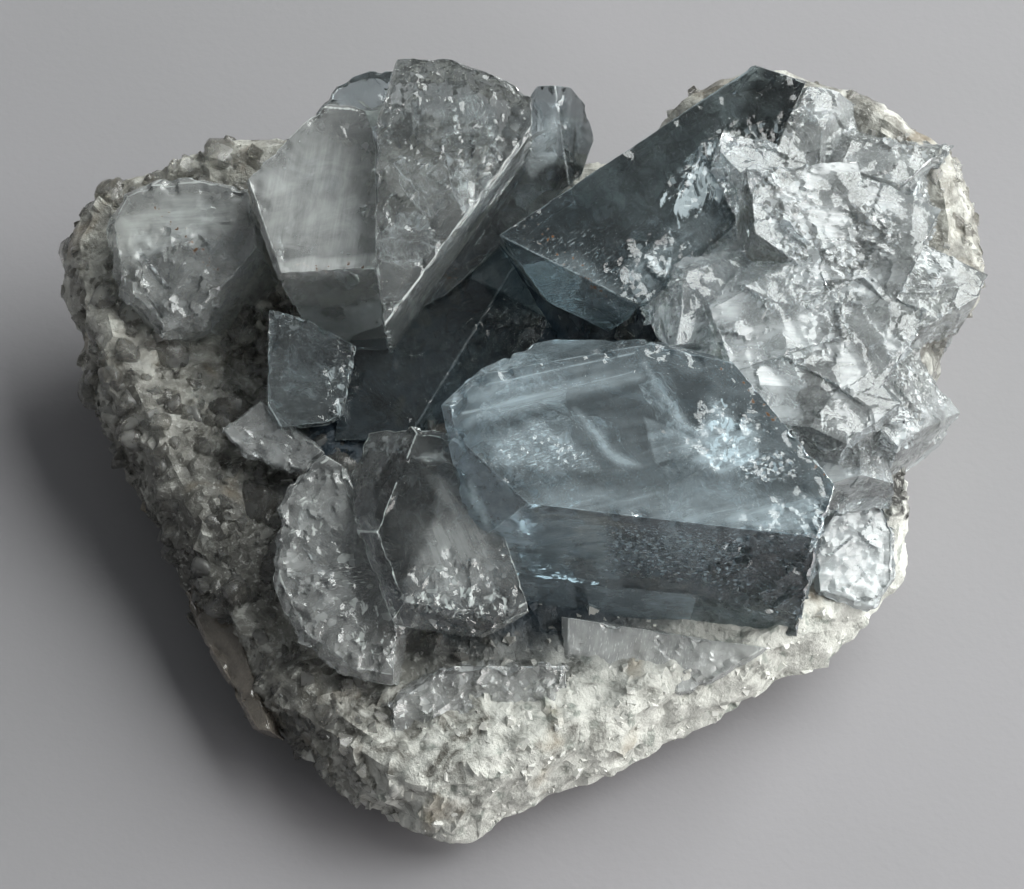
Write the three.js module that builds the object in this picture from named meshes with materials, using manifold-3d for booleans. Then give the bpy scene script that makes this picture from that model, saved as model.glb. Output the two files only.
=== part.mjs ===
// Celestite crystal cluster, a hand specimen broken out of a geode.
// Millimetres, +Z up. The specimen rests on its flat underside at z = 0, and the origin is under
// the middle of its bounding box. -Y is the low front of the crust, +Y its high back.

import * as THREE from 'three';
import { ConvexGeometry } from 'three/addons/geometries/ConvexGeometry.js';
import { mergeVertices } from 'three/addons/utils/BufferGeometryUtils.js';
import Module from 'manifold-3d';

const wasm = await Module();
wasm.setup();

// Driving dimensions
const GAP = 0.3;                 // clearance between neighbouring pieces
const FLOOR_HEIGHT = 14;         // level of the hollow inside the crust
const CRUST_STEPS = 56;          // points round each level of the crust
const LUMP_SIZE = 6;             // distance from one lump of the crust to the next
const LUMP_HEIGHT = 1.3;         // how far a lump stands out
const GRAIN_SMALL = 2.2;         // half size of the smallest fused grain
const GRAIN_LARGE = 4.2;         // half size of the largest fused grain

// Angles between the faces of a celestite crystal, in degrees
const PRISM_TO_PRISM = 75.8;     // between two long prism faces over a blunt edge
const PRISM_TO_BASE = 52.1;      // between a long prism face and the base
const DOME = 50.6;               // how far a dome face leans from the long axis
const TIP = 38;                  // how far a tip face leans from the long axis
const SQUARE = 90;               // a side face square to the top face
const UNDERCUT = 98;             // a side face that leans in under the top face

// Numbers that look random but are the same on every run
function seeded(seed) {
  let state = seed;
  return () => {
    state = (state * 1664525 + 1013904223) % 4294967296;
    return state / 4294967296;
  };
}

// Directions of a face: right and up within the face, and out of it.
// tilt is how far the face leans from level, facing is the compass way it looks.
function faceFrame(tilt, facing) {
  const lean = THREE.MathUtils.degToRad(tilt);
  const way = THREE.MathUtils.degToRad(facing);
  const out = new THREE.Vector3(
    Math.sin(lean) * Math.cos(way),
    Math.sin(lean) * Math.sin(way),
    Math.cos(lean),
  );
  const right = new THREE.Vector3(0, 1, 0).cross(out).normalize();
  const up = out.clone().cross(right);
  return { right, up, out };
}

// A plane keeps the side that its normal points away from.
function planeThrough(point, normal) {
  return { normal, distance: normal.dot(point) };
}

// The face planes of a crystal, from its top face's outline and the angle to each side face.
// A side face that slopes outwards stops at the prism's long face, spread beyond the outline.
function crystalPlanes({ at, tilt, facing, corners, angles, depth, spread = 0, extra = [] }) {
  const { right, up, out } = faceFrame(tilt, facing);
  const centre = new THREE.Vector3(...at);
  const place = ([u, v, w = 0]) => centre.clone()
    .addScaledVector(right, u)
    .addScaledVector(up, v)
    .addScaledVector(out, w);
  const planes = [
    planeThrough(centre, out),
    planeThrough(centre.clone().addScaledVector(out, -depth), out.clone().negate()),
  ];
  const points = corners.map(place);
  const middle = points.reduce((sum, p) => sum.add(p), new THREE.Vector3())
    .divideScalar(points.length);
  points.forEach((from, i) => {
    const to = points[(i + 1) % points.length];
    const away = to.clone().sub(from).cross(out).normalize();
    if (away.dot(from.clone().sub(middle)) < 0) {
      away.negate();
    }
    const leaning = (degrees) => {
      const angle = THREE.MathUtils.degToRad(degrees);
      return out.clone().multiplyScalar(Math.cos(angle)).addScaledVector(away, Math.sin(angle));
    };
    planes.push(planeThrough(from, leaning(angles[i % angles.length])));
    const reach = Array.isArray(spread) ? spread[i] : spread;
    if (reach > 0) {
      planes.push(planeThrough(from.clone().addScaledVector(away, reach), leaning(UNDERCUT)));
    }
  });
  for (const cut of extra) {
    const normal = new THREE.Vector3()
      .addScaledVector(right, cut.looks[0])
      .addScaledVector(up, cut.looks[1])
      .addScaledVector(out, cut.looks[2])
      .normalize();
    planes.push(planeThrough(place(cut.through), normal));
  }
  return planes;
}

// The corner where three planes meet, or null where they don't
function meetingPoint(a, b, c) {
  const across = b.normal.clone().cross(c.normal);
  const volume = a.normal.dot(across);
  if (Math.abs(volume) < 1e-6) {
    return null;
  }
  return across.multiplyScalar(a.distance)
    .addScaledVector(c.normal.clone().cross(a.normal), b.distance)
    .addScaledVector(a.normal.clone().cross(b.normal), c.distance)
    .divideScalar(volume);
}

// The closed body inside a set of planes, each moved out by a clearance
function bodyInside(planes, clearance = 0) {
  const sides = planes.map(({ normal, distance }) => ({ normal, distance: distance + clearance }));
  const found = [];
  for (let i = 0; i < sides.length; i += 1) {
    for (let j = i + 1; j < sides.length; j += 1) {
      for (let k = j + 1; k < sides.length; k += 1) {
        const corner = meetingPoint(sides[i], sides[j], sides[k]);
        const inside = corner && sides.every((s) => s.normal.dot(corner) < s.distance + 1e-5);
        if (inside && !found.some((p) => p.distanceTo(corner) < 1e-3)) {
          found.push(corner);
        }
      }
    }
  }
  return toSolid(new ConvexGeometry(found));
}

function toSolid(geometry) {
  const bare = geometry.clone();
  bare.deleteAttribute('normal');
  bare.deleteAttribute('uv');
  const merged = mergeVertices(bare, 1e-4);
  return new wasm.Manifold(new wasm.Mesh({
    numProp: 3,
    vertProperties: new Float32Array(merged.attributes.position.array),
    triVerts: new Uint32Array(merged.index.array),
  }));
}

// The largest connected body of a solid, so that no loose crumb is left by a cut
function toGeometry(solid) {
  const mesh = solid.getMesh();
  const corners = mesh.triVerts;
  const owner = Array.from({ length: mesh.vertProperties.length / mesh.numProp }, (_, i) => i);
  const root = (i) => {
    let at = i;
    while (owner[at] !== at) {
      owner[at] = owner[owner[at]];
      at = owner[at];
    }
    return at;
  };
  for (let t = 0; t < corners.length; t += 3) {
    owner[root(corners[t + 1])] = root(corners[t]);
    owner[root(corners[t + 2])] = root(corners[t]);
  }
  const counts = new Map();
  for (let t = 0; t < corners.length; t += 3) {
    const body = root(corners[t]);
    counts.set(body, (counts.get(body) ?? 0) + 1);
  }
  const largest = [...counts].sort((a, b) => b[1] - a[1])[0][0];
  const kept = [];
  for (let t = 0; t < corners.length; t += 3) {
    if (root(corners[t]) === largest) {
      kept.push(corners[t], corners[t + 1], corners[t + 2]);
    }
  }
  const positions = [];
  for (let i = 0; i < owner.length; i += 1) {
    const start = i * mesh.numProp;
    positions.push(...mesh.vertProperties.slice(start, start + 3));
  }
  const geometry = new THREE.BufferGeometry();
  geometry.setAttribute('position', new THREE.Float32BufferAttribute(positions, 3));
  geometry.setIndex(kept);
  const faceted = geometry.toNonIndexed();
  faceted.computeVertexNormals();
  return faceted;
}

// A rough chunk: a box of the given half sizes with its corners broken off at random
function chunkPlanes(centre, halfSizes, turn, random, breaks) {
  const planes = [];
  const axes = [new THREE.Vector3(1, 0, 0), new THREE.Vector3(0, 1, 0), new THREE.Vector3(0, 0, 1)];
  axes.forEach((axis, i) => {
    for (const sign of [1, -1]) {
      const normal = axis.clone().multiplyScalar(sign).applyQuaternion(turn);
      planes.push({ normal, distance: normal.dot(centre) + halfSizes[i] });
    }
  });
  const reach = (halfSizes[0] + halfSizes[1] + halfSizes[2]) / 3;
  for (let i = 0; i < breaks; i += 1) {
    const normal = new THREE.Vector3(random() - 0.5, random() - 0.5, random() - 0.5).normalize();
    const distance = reach * (0.82 + 0.22 * random());
    planes.push({ normal, distance: normal.dot(centre) + distance });
  }
  return planes;
}

// Crystals, each given by its visible top face
const crystals = [
  {
    name: 'main_crystal',
    colour: 0x9fb3c4,
    at: [9.5, -11, 33],
    tilt: 10,
    facing: -90,
    corners: [[-9, -6.5], [-16, 0.5], [-16.5, 3.5], [-13, 7], [3, 10], [11, 8], [20.5, -4.5], [19, -10]],
    angles: [60, 62, DOME, PRISM_TO_BASE, PRISM_TO_BASE, SQUARE, SQUARE, PRISM_TO_PRISM],
    spread: [6, 1, 1.2, 5, 1, 0, 0, 0],
    depth: 19,
  },
  {
    name: 'dark_crystal',
    colour: 0x4d5f6e,
    at: [12, 17, 34],
    tilt: 33,
    facing: -70,
    corners: [[-14, -6], [10, 14], [15.5, 13], [10.5, -1.5], [1.5, -11.5]],
    angles: [UNDERCUT, SQUARE, SQUARE, SQUARE, PRISM_TO_BASE],
    spread: [0, 0, 0, 0, 4],
    depth: 15,
    extra: [
      { through: [-2, 4.2, 0], looks: [-0.4, 0.5, 0.75] },
      { through: [-14, -6, 0], looks: [-0.72, -0.69, -0.12] },
    ],
  },
  {
    name: 'pocket_crystal',
    colour: 0x2f4152,
    at: [-8.5, 5, 17],
    tilt: 20,
    facing: -90,
    corners: [[-10.5, -6], [-9, 5.5], [-4, 8.5], [6, 14.5], [12.5, 5.5], [0, -5.5]],
    angles: [SQUARE],
    depth: 8,
    extra: [
      { through: [4, 6, 0], looks: [0.5, -0.3, 0.8] },
    ],
  },
  {
    name: 'back_crystal',
    colour: 0xaab8bf,
    at: [-7, 15.5, 38],
    tilt: 22,
    facing: -90,
    corners: [
      [-7.5, 6], [-5.5, 12.5], [0, 12.5], [5.5, 10.5],
      [8, 8.5], [8, 5], [-6.5, -14.5], [-7.5, -8.5],
    ],
    angles: [SQUARE],
    depth: 20,
    extra: [
      { through: [7.2, 4.6, 0], looks: [0.62, -0.45, 0.75] },
    ],
  },
  {
    name: 'milky_crystal',
    colour: 0xb4bdc2,
    at: [-21, 17, 34],
    tilt: 15,
    facing: -100,
    corners: [[-6.5, 2], [-1, 7], [1, 9], [5.5, 8.5], [6.5, 5.5], [6.5, -8], [-3, -8.5]],
    angles: [SQUARE, SQUARE, TIP, SQUARE, SQUARE, PRISM_TO_PRISM, PRISM_TO_BASE],
    spread: [0, 0, 0.6, 0, 0, 0, 0.7],
    depth: 16,
  },
  {
    name: 'left_crystal',
    colour: 0xb9bfc2,
    at: [-34.5, 15, 26],
    tilt: 15,
    facing: -120,
    corners: [[-7, 4], [-5.5, 6.5], [-3, 7.5], [2, 7.5], [7, 6], [8, 0], [2, -6.5], [-2, -7.5], [-6, -3]],
    angles: [DOME, PRISM_TO_BASE, TIP, PRISM_TO_BASE, SQUARE, SQUARE, DOME, PRISM_TO_BASE, DOME],
    spread: [1, 1, 1, 0.6, 0, 0, 1, 1.4, 1.4],
    depth: 13,
  },
  {
    name: 'window_crystal',
    colour: 0x8795a0,
    at: [-21.5, 2.5, 24],
    tilt: 25,
    facing: -90,
    corners: [[-4, 6], [-1, 5.5], [4.5, 2.5], [4.5, 0], [3.5, -4.5], [2, -5.5], [-2.5, -6], [-4, -3.5]],
    angles: [SQUARE, SQUARE, DOME, SQUARE, DOME, SQUARE, DOME, SQUARE],
    spread: 0.5,
    depth: 11,
  },
  {
    name: 'far_back_crystal',
    colour: 0x8b979f,
    at: [-1, 22, 27],
    tilt: 30,
    facing: -90,
    corners: [[2.5, 10.5], [6, 10.5], [7.5, 9], [8.5, 5.5], [6.5, 1], [-7, -11], [-10, -12.5], [-8, -6]],
    angles: [SQUARE, SQUARE, DOME, PRISM_TO_BASE, SQUARE, SQUARE, SQUARE, SQUARE],
    spread: [0, 0, 0.6, 0.6, 0, 0, 0, 0],
    depth: 14,
    extra: [
      { through: [5, 6, 0], looks: [0.7, 0.1, 0.6] },
    ],
  },
  {
    name: 'clear_crystal',
    colour: 0xa7b0b4,
    at: [-8, -16, 26],
    tilt: 20,
    facing: -90,
    corners: [[-6.5, 9.5], [1.5, 8], [4.5, 4], [8.5, -8], [6, -9.5], [-3.5, -8], [-8.5, 4.5]],
    angles: [PRISM_TO_BASE, SQUARE, SQUARE, TIP, PRISM_TO_BASE, PRISM_TO_BASE, TIP],
    spread: [0.8, 0, 0, 1, 2.5, 2, 1.5],
    depth: 14,
    extra: [
      { through: [-3, 7, 0], looks: [-0.75, 0.3, 0.75] },
    ],
  },
  {
    name: 'rounded_crystal',
    colour: 0xa4abad,
    at: [-19, -18, 20],
    tilt: 22,
    facing: -110,
    corners: [
      [-3.5, 8.5], [0.5, 11], [2, 10], [7, -3.5], [6, -11],
      [1.5, -10], [-3, -6], [-5, -0.5], [-5, 3.5],
    ],
    angles: [TIP, SQUARE, SQUARE, SQUARE, PRISM_TO_BASE, DOME, TIP, PRISM_TO_BASE, DOME],
    spread: [0.8, 0, 0, 0, 1.2, 1.4, 1.2, 1, 1],
    depth: 13,
  },
  {
    name: 'far_left_crystal',
    colour: 0x6f7a80,
    at: [-17.5, 29.5, 31],
    tilt: 15,
    facing: 180,
    corners: [[-3, 0], [-0.5, 3.5], [2, 4], [4.5, 3.5], [3, -3], [0, -4]],
    angles: [TIP, SQUARE, SQUARE, SQUARE, SQUARE, DOME],
    spread: [1, 0.4, 0, 0, 0, 1],
    depth: 13,
  },
  {
    name: 'right_crystal',
    colour: 0xa9bac8,
    at: [33.5, -13.5, 16.5],
    tilt: 30,
    facing: -60,
    corners: [[-2, 4.5], [1, 6], [3.5, 2], [4, -3], [2.5, -6], [-3.5, -5], [-4.5, -0.5]],
    angles: [DOME, TIP, DOME, PRISM_TO_BASE, DOME, SQUARE, SQUARE],
    spread: [0.6, 0.6, 0.8, 0.8, 0.8, 0, 0],
    depth: 9,
  },
  {
    name: 'smoky_crystal',
    colour: 0x6d6258,
    at: [-30, -22, 8.5],
    tilt: 20,
    facing: -150,
    corners: [[-4, 8], [-2.5, 8.5], [1.5, 3], [5, -8.5], [3.5, -8], [-1.5, 1.5]],
    angles: [SQUARE, SQUARE, SQUARE, SQUARE, DOME, DOME],
    spread: [0, 0, 0, 0, 0.6, 0.6],
    depth: 4,
  },
  {
    name: 'wedge_crystal',
    colour: 0xb3babd,
    at: [-25.5, -3.5, 20],
    tilt: 30,
    facing: -90,
    corners: [[-4.5, 1], [-0.5, 4], [5.5, -1], [3.5, -3], [-2, -1.5]],
    angles: [DOME, SQUARE, DOME, PRISM_TO_BASE, TIP],
    spread: [0.5, 0, 0.5, 0.8, 0.5],
    depth: 7,
  },
  {
    name: 'front_crystal',
    colour: 0xb9bcbb,
    at: [-4, -31, 13.5],
    tilt: 35,
    facing: -90,
    corners: [[-9, 1], [-3, 5], [8, 5], [8, -2], [0, -4.5], [-8, -5]],
    angles: [TIP, SQUARE, DOME, PRISM_TO_BASE, DOME, TIP],
    spread: 0.8,
    depth: 6,
  },
  {
    name: 'pale_blade',
    colour: 0xb6c0c6,
    at: [11.5, -24.5, 14.5],
    tilt: 30,
    facing: -90,
    corners: [[-7, 3.5], [12.5, 0.5], [5, -4], [-7, -3]],
    angles: [SQUARE, DOME, PRISM_TO_BASE, TIP],
    spread: [0, 0.6, 0.8, 0.8],
    depth: 6,
  },
];

// Broken crystal at the right: overlapping chunks, from the dark crystal's ridge down to the rim
const brokenChunks = [
  { at: [22, 20, 29], half: [5, 6, 6] },
  { at: [28, 24, 28], half: [6, 6, 7] },
  { at: [34, 23, 27], half: [6, 6, 7] },
  { at: [38, 18, 25], half: [5, 6, 7] },
  { at: [27, 15, 28], half: [6, 6, 7] },
  { at: [33, 13, 27], half: [6, 6, 7] },
  { at: [38, 9, 24], half: [5, 6, 7] },
  { at: [18, 9, 26], half: [5, 5, 5] },
  { at: [24, 7, 27], half: [6, 6, 6] },
  { at: [31, 4, 25], half: [6, 6, 7] },
  { at: [25, -1, 26], half: [5, 5, 6] },
  { at: [30, -4, 24], half: [5, 5, 6] },
  { at: [36, 0, 22], half: [5, 6, 6] },
  { at: [32, -7, 21], half: [4, 4, 6] },
];
const CHUNK_BREAKS = 5;

// Stations round the crust: its widest point and height there, and the height of the rim above it
const stations = [
  { x: -47, y: 19, widest: 16, rim: 21 },
  { x: -46, y: 12, widest: 12, rim: 20 },
  { x: -43, y: 4, widest: 9, rim: 18 },
  { x: -39, y: -4, widest: 7, rim: 16 },
  { x: -34, y: -13, widest: 5, rim: 14 },
  { x: -29, y: -22, widest: 4, rim: 12 },
  { x: -24, y: -29, widest: 4, rim: 12 },
  { x: -18, y: -35, widest: 4, rim: 13 },
  { x: -11, y: -39, widest: 4, rim: 13 },
  { x: -3, y: -39, widest: 4, rim: 14 },
  { x: 5, y: -35, widest: 5, rim: 14 },
  { x: 17, y: -29, widest: 6, rim: 14 },
  { x: 27, y: -24, widest: 7, rim: 14 },
  { x: 35, y: -18, widest: 8, rim: 14 },
  { x: 39, y: -12, widest: 9, rim: 15 },
  { x: 38, y: -5, widest: 15, rim: 22 },
  { x: 41, y: 2, widest: 19, rim: 26 },
  { x: 46, y: 12, widest: 21, rim: 28 },
  { x: 47, y: 19, widest: 22, rim: 30 },
  { x: 44, y: 26, widest: 24, rim: 32 },
  { x: 36, y: 31, widest: 25, rim: 33 },
  { x: 28, y: 34, widest: 25, rim: 33 },
  { x: 19, y: 34, widest: 24, rim: 31 },
  { x: 11, y: 29, widest: 19, rim: 25 },
  { x: 0, y: 30, widest: 18, rim: 24 },
  { x: -12, y: 32, widest: 18, rim: 25 },
  { x: -24, y: 31, widest: 18, rim: 26 },
  { x: -36, y: 29, widest: 18, rim: 25 },
  { x: -44, y: 26, widest: 18, rim: 23 },
];

// Levels of the crust, from the middle of the underside, out over the rim, into the hollow.
// reach is the share of the way out to the widest point; low, wide and rim weigh the heights.
const levels = [
  { reach: 0.3, low: 1 },
  { reach: 0.55, low: 1 },
  { reach: 0.66, low: 1 },
  { reach: 0.76, low: 0.85, wide: 0.15 },
  { reach: 0.86, low: 0.6, wide: 0.4 },
  { reach: 0.94, low: 0.3, wide: 0.7 },
  { reach: 1, wide: 1 },
  { reach: 0.99, wide: 0.6, rim: 0.4 },
  { reach: 0.96, wide: 0.15, rim: 0.85 },
  { reach: 0.91, rim: 1 },
  { reach: 0.84, rim: 0.9, floor: 0.1 },
  { reach: 0.75, rim: 0.6, floor: 0.4 },
  { reach: 0.64, rim: 0.3, floor: 0.7 },
  { reach: 0.5, rim: 0.1, floor: 0.9 },
  { reach: 0.36, floor: 1 },
  { reach: 0.2, floor: 1 },
];

// A soft lumpy value for a place, between -1 and 1
function lumpiness(x, y, z) {
  const k = (2 * Math.PI) / LUMP_SIZE;
  return (Math.sin(k * x + 1.7 * Math.sin(0.6 * k * y)) * Math.cos(k * (y - 0.6 * z))
    + Math.sin(1.9 * k * (z + 0.5 * x)) * Math.cos(1.6 * k * y + 2 * Math.sin(k * x))) / 2;
}

// The crust's outline as a closed curve, its height being the widest point's or the rim's
function roundCrust(height) {
  return new THREE.CatmullRomCurve3(
    stations.map((station) => new THREE.Vector3(station.x, station.y, station[height])),
    true,
    'centripetal',
  );
}

function crustSolid() {
  const outline = roundCrust('widest');
  const rims = roundCrust('rim');
  const positions = [0, 0, 0];
  for (const { reach, low = 0, wide = 0, rim = 0, floor = 0 } of levels) {
    for (let i = 0; i < CRUST_STEPS; i += 1) {
      const edge = outline.getPoint(i / CRUST_STEPS);
      const rimHeight = rims.getPoint(i / CRUST_STEPS).z;
      let x = edge.x * reach;
      let y = edge.y * reach;
      let z = wide * edge.z + rim * rimHeight + floor * FLOOR_HEIGHT;
      if (low < 1) {
        const lump = LUMP_HEIGHT * lumpiness(x, y, z) * (1 - low);
        const away = Math.hypot(x, y);
        const sideways = low + wide > 0.5 ? 1 : 0.3;
        x += (x / away) * lump * sideways;
        y += (y / away) * lump * sideways;
        z += low > 0 ? 0 : lump * 0.8;
      }
      positions.push(x, y, z);
    }
  }
  positions.push(0, 0, FLOOR_HEIGHT);
  const last = positions.length / 3 - 1;
  const faces = [];
  const at = (level, i) => 1 + level * CRUST_STEPS + (i % CRUST_STEPS);
  for (let i = 0; i < CRUST_STEPS; i += 1) {
    faces.push(0, at(0, i + 1), at(0, i));
    for (let level = 0; level < levels.length - 1; level += 1) {
      faces.push(at(level, i), at(level, i + 1), at(level + 1, i + 1));
      faces.push(at(level, i), at(level + 1, i + 1), at(level + 1, i));
    }
    faces.push(at(levels.length - 1, i), at(levels.length - 1, i + 1), last);
  }
  const geometry = new THREE.BufferGeometry();
  geometry.setAttribute('position', new THREE.Float32BufferAttribute(positions, 3));
  geometry.setIndex(faces);
  return toSolid(geometry);
}

// Small blocky crystals grown as one with the crust, in rows on its walls, rim and hollow
const grainRows = [
  { level: 4, count: 16 },
  { level: 6, count: 22 },
  { level: 8, count: 24 },
  { level: 10, count: 20 },
  { level: 12, count: 12 },
];

function grainSolids() {
  const random = seeded(11);
  const outline = roundCrust('widest');
  const rims = roundCrust('rim');
  const grains = [];
  for (const { level, count } of grainRows) {
    const { reach, wide = 0, rim = 0, floor = 0 } = levels[level];
    for (let i = 0; i < count; i += 1) {
      const share = (i + 0.8 * random()) / count;
      const edge = outline.getPoint(share);
      const rimHeight = rims.getPoint(share).z;
      const size = GRAIN_SMALL + (GRAIN_LARGE - GRAIN_SMALL) * random() ** 2;
      const z = wide * edge.z + rim * rimHeight + floor * FLOOR_HEIGHT - 0.45 * size;
      const inward = 1 - (0.75 * size) / Math.hypot(edge.x, edge.y);
      const centre = new THREE.Vector3(
        edge.x * reach * inward,
        edge.y * reach * inward,
        Math.max(z, 1.75 * size),
      );
      const half = [size, size * (0.7 + 0.3 * random()), size * (0.6 + 0.3 * random())];
      grains.push(bodyInside(chunkPlanes(centre, half, turned(random, 3), random, 2)));
    }
  }
  return grains;
}

// A turn by up to the given angle about each axis
function turned(random, most) {
  return new THREE.Quaternion().setFromEuler(new THREE.Euler(
    most * random(),
    most * random(),
    3 * random(),
  ));
}

// The broken crystal's chunks, each moved out by a clearance
function brokenBodies(clearance = 0) {
  const random = seeded(5);
  return brokenChunks.map(({ at, half }) => {
    const turn = turned(random, 0.4);
    const centre = new THREE.Vector3(...at);
    return bodyInside(chunkPlanes(centre, half, turn, random, CHUNK_BREAKS), clearance);
  });
}

const join = (solids) => solids.reduce((whole, solid) => whole.add(solid));
const cutBack = (solid, cutters) => cutters.reduce((left, cutter) => left.subtract(cutter), solid);

// A piece is cut back from every piece before it, with the clearance kept between them.
function buildPieces() {
  const pieces = [];
  const taken = [];
  for (const crystal of crystals) {
    const planes = crystalPlanes(crystal);
    const solid = cutBack(bodyInside(planes), taken);
    pieces.push({ name: crystal.name, colour: crystal.colour, roughness: 0.15, solid });
    taken.push(bodyInside(planes, GAP));
  }
  const broken = cutBack(join(brokenBodies()), taken);
  pieces.push({ name: 'broken_crystal', colour: 0xa9b7c0, roughness: 0.3, solid: broken });
  taken.push(...brokenBodies(GAP));
  const matrix = cutBack(join([crustSolid(), ...grainSolids()]), taken);
  pieces.push({ name: 'matrix', colour: 0xbdb9b0, roughness: 0.85, solid: matrix });
  return pieces;
}

const cluster = new THREE.Group();
cluster.name = 'celestite_cluster';
for (const { name, colour, roughness, solid } of buildPieces()) {
  const material = new THREE.MeshStandardMaterial({ color: colour, roughness, metalness: 0 });
  const mesh = new THREE.Mesh(toGeometry(solid), material);
  mesh.name = name;
  cluster.add(mesh);
}

// The origin is under the middle of the whole specimen, on the surface that it stands on.
const around = new THREE.Box3().setFromObject(cluster);
const middle = around.getCenter(new THREE.Vector3());
cluster.position.set(-middle.x, -middle.y, -around.min.z);

export default cluster;
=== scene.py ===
# %% [markdown]
# # A celestite crystal cluster
# The real object is a hand specimen from a geode: see-through crystals, from pale blue-grey to dark
# slate blue, stand on a crust of sugary white and grey grains and point into a dark pocket.
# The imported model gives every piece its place. This file gives the pieces their finish: natural
# faces, broken faces, growth bands, veils, stains and the look of clear and clouded crystal.

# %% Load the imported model
import math
import random
from collections import namedtuple

import bmesh
import bpy
from mathutils import Euler, Matrix, Vector, noise


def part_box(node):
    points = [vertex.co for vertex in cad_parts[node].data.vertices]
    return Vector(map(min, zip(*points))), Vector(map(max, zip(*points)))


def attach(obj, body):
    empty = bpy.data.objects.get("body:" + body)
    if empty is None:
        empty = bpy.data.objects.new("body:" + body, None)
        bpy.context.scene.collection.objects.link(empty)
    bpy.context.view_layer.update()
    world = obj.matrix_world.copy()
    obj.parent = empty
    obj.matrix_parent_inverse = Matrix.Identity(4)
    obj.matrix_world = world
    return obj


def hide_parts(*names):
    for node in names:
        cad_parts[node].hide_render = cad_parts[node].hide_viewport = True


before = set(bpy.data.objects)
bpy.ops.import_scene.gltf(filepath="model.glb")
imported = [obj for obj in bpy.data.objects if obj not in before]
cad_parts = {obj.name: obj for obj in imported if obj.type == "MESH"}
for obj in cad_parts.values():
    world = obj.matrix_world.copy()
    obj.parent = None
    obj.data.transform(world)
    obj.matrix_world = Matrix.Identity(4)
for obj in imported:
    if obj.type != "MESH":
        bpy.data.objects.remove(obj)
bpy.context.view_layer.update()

MM = 0.001

# %% [markdown]
# ## Camera
# The specimen lies on a table and is seen from above at about 60 degrees. A wide lens close by
# would show it as large, but would spread its sides apart. A long lens from far off keeps them
# upright. The camera comes first and looks at the middle of the hollow.

# %% Camera
VIEW_ELEVATION = 60.0
VIEW_DISTANCE = 400 * MM
VIEW_WIDTH = 102.4 * MM
AIM = Vector((-1.1, -2.26, 20.0)) * MM
FILM_WIDTH = 36.0

elevation = math.radians(VIEW_ELEVATION)
to_camera = Vector((0, -math.cos(elevation), math.sin(elevation)))
camera_data = bpy.data.cameras.new("camera")
camera_data.sensor_width = FILM_WIDTH
camera_data.lens = FILM_WIDTH * VIEW_DISTANCE / VIEW_WIDTH
camera_data.clip_start = 0.01
camera = bpy.data.objects.new("camera", camera_data)
camera.location = AIM + to_camera * VIEW_DISTANCE
camera.rotation_euler = (-to_camera).to_track_quat("-Z", "Y").to_euler()
bpy.context.collection.objects.link(camera)
bpy.context.scene.camera = camera
print("lens, mm:", round(camera_data.lens, 1))

# %% [markdown]
# ## Light
# The photo has the soft light of one window at the upper right, behind the specimen, and a room
# that is dim on the near side. Faces that lean back shine pale, and faces that look at the camera
# stay dark. A sun or a picture of a sky could light it too. A large area light is chosen for the
# window, because its size alone sets how soft the shadows are, and a dim grey world for the room.

# %% Window, fill and room
WINDOW_PLACE = Vector((0.46, 0.20, 0.46))
WINDOW_SIZE = 0.72
WINDOW_POWER = 9.5
WINDOW_COLOUR = (0.97, 1.0, 0.98)
FILL_PLACE = Vector((0.55, -0.30, 0.22))
FILL_SIZE = 0.4
FILL_POWER = 2.2
FILL_COLOUR = (1.0, 0.97, 0.94)
ROOM_COLOUR = (0.60, 0.63, 0.64)
ROOM_STRENGTH = 0.28


def area_light(name, place, size, power, colour):
    data = bpy.data.lights.new(name, "AREA")
    data.shape = "SQUARE"
    data.size = size
    data.energy = power
    data.color = colour
    lamp = bpy.data.objects.new(name, data)
    lamp.location = place
    lamp.rotation_euler = (AIM - place).to_track_quat("-Z", "Y").to_euler()
    bpy.context.collection.objects.link(lamp)
    print(name, "light,", power, "W")


area_light("window", WINDOW_PLACE, WINDOW_SIZE, WINDOW_POWER, WINDOW_COLOUR)
area_light("fill", FILL_PLACE, FILL_SIZE, FILL_POWER, FILL_COLOUR)

world = bpy.data.worlds.new("room")
world.use_nodes = True
world.node_tree.nodes["Background"].inputs["Color"].default_value = (*ROOM_COLOUR, 1)
world.node_tree.nodes["Background"].inputs["Strength"].default_value = ROOM_STRENGTH
bpy.context.scene.world = world

# %% Colour and light paths
scene = bpy.context.scene
scene.view_settings.view_transform = "Standard"
scene.cycles.use_denoising = True
scene.cycles.max_bounces = 9
scene.cycles.transmission_bounces = 8
scene.cycles.transparent_max_bounces = 8
scene.cycles.diffuse_bounces = 2
scene.cycles.glossy_bounces = 4
scene.cycles.blur_glossy = 0.6
scene.cycles.adaptive_threshold = 0.25

# %% [markdown]
# ## Material helpers
# Every finish is one Principled shader. What varies over a surface could be a painted picture, but
# that needs a file and a flat layout of each piece. Nodes on Object coordinates need neither. What
# is the same all over is set on the shader itself.

# %% Make and feed nodes
def new_material(name):
    material = bpy.data.materials.new(name)
    material.use_nodes = True
    tree = material.node_tree
    return material, tree, tree.nodes["Principled BSDF"]


def feed(tree, node, values):
    """Gives inputs, by name or number, a number, a colour or what another node puts out."""
    for title, value in values.items():
        socket = node.inputs[title]
        if isinstance(value, bpy.types.NodeSocket):
            tree.links.new(value, socket)
        elif socket.type == "RGBA":
            socket.default_value = (*value, 1)
        else:
            socket.default_value = value


def put(tree, kind, values=None, **settings):
    """Adds a node with the given settings and inputs."""
    node = tree.nodes.new(kind)
    for key, value in settings.items():
        setattr(node, key, value)
    feed(tree, node, values or {})
    return node


def place_nodes(tree):
    return put(tree, "ShaderNodeTexCoord").outputs["Object"]


def axis_nodes(tree, axis):
    """A place's distance along one axis, in metres."""
    return put(tree, "ShaderNodeSeparateXYZ", {0: place_nodes(tree)}).outputs[axis]


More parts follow.
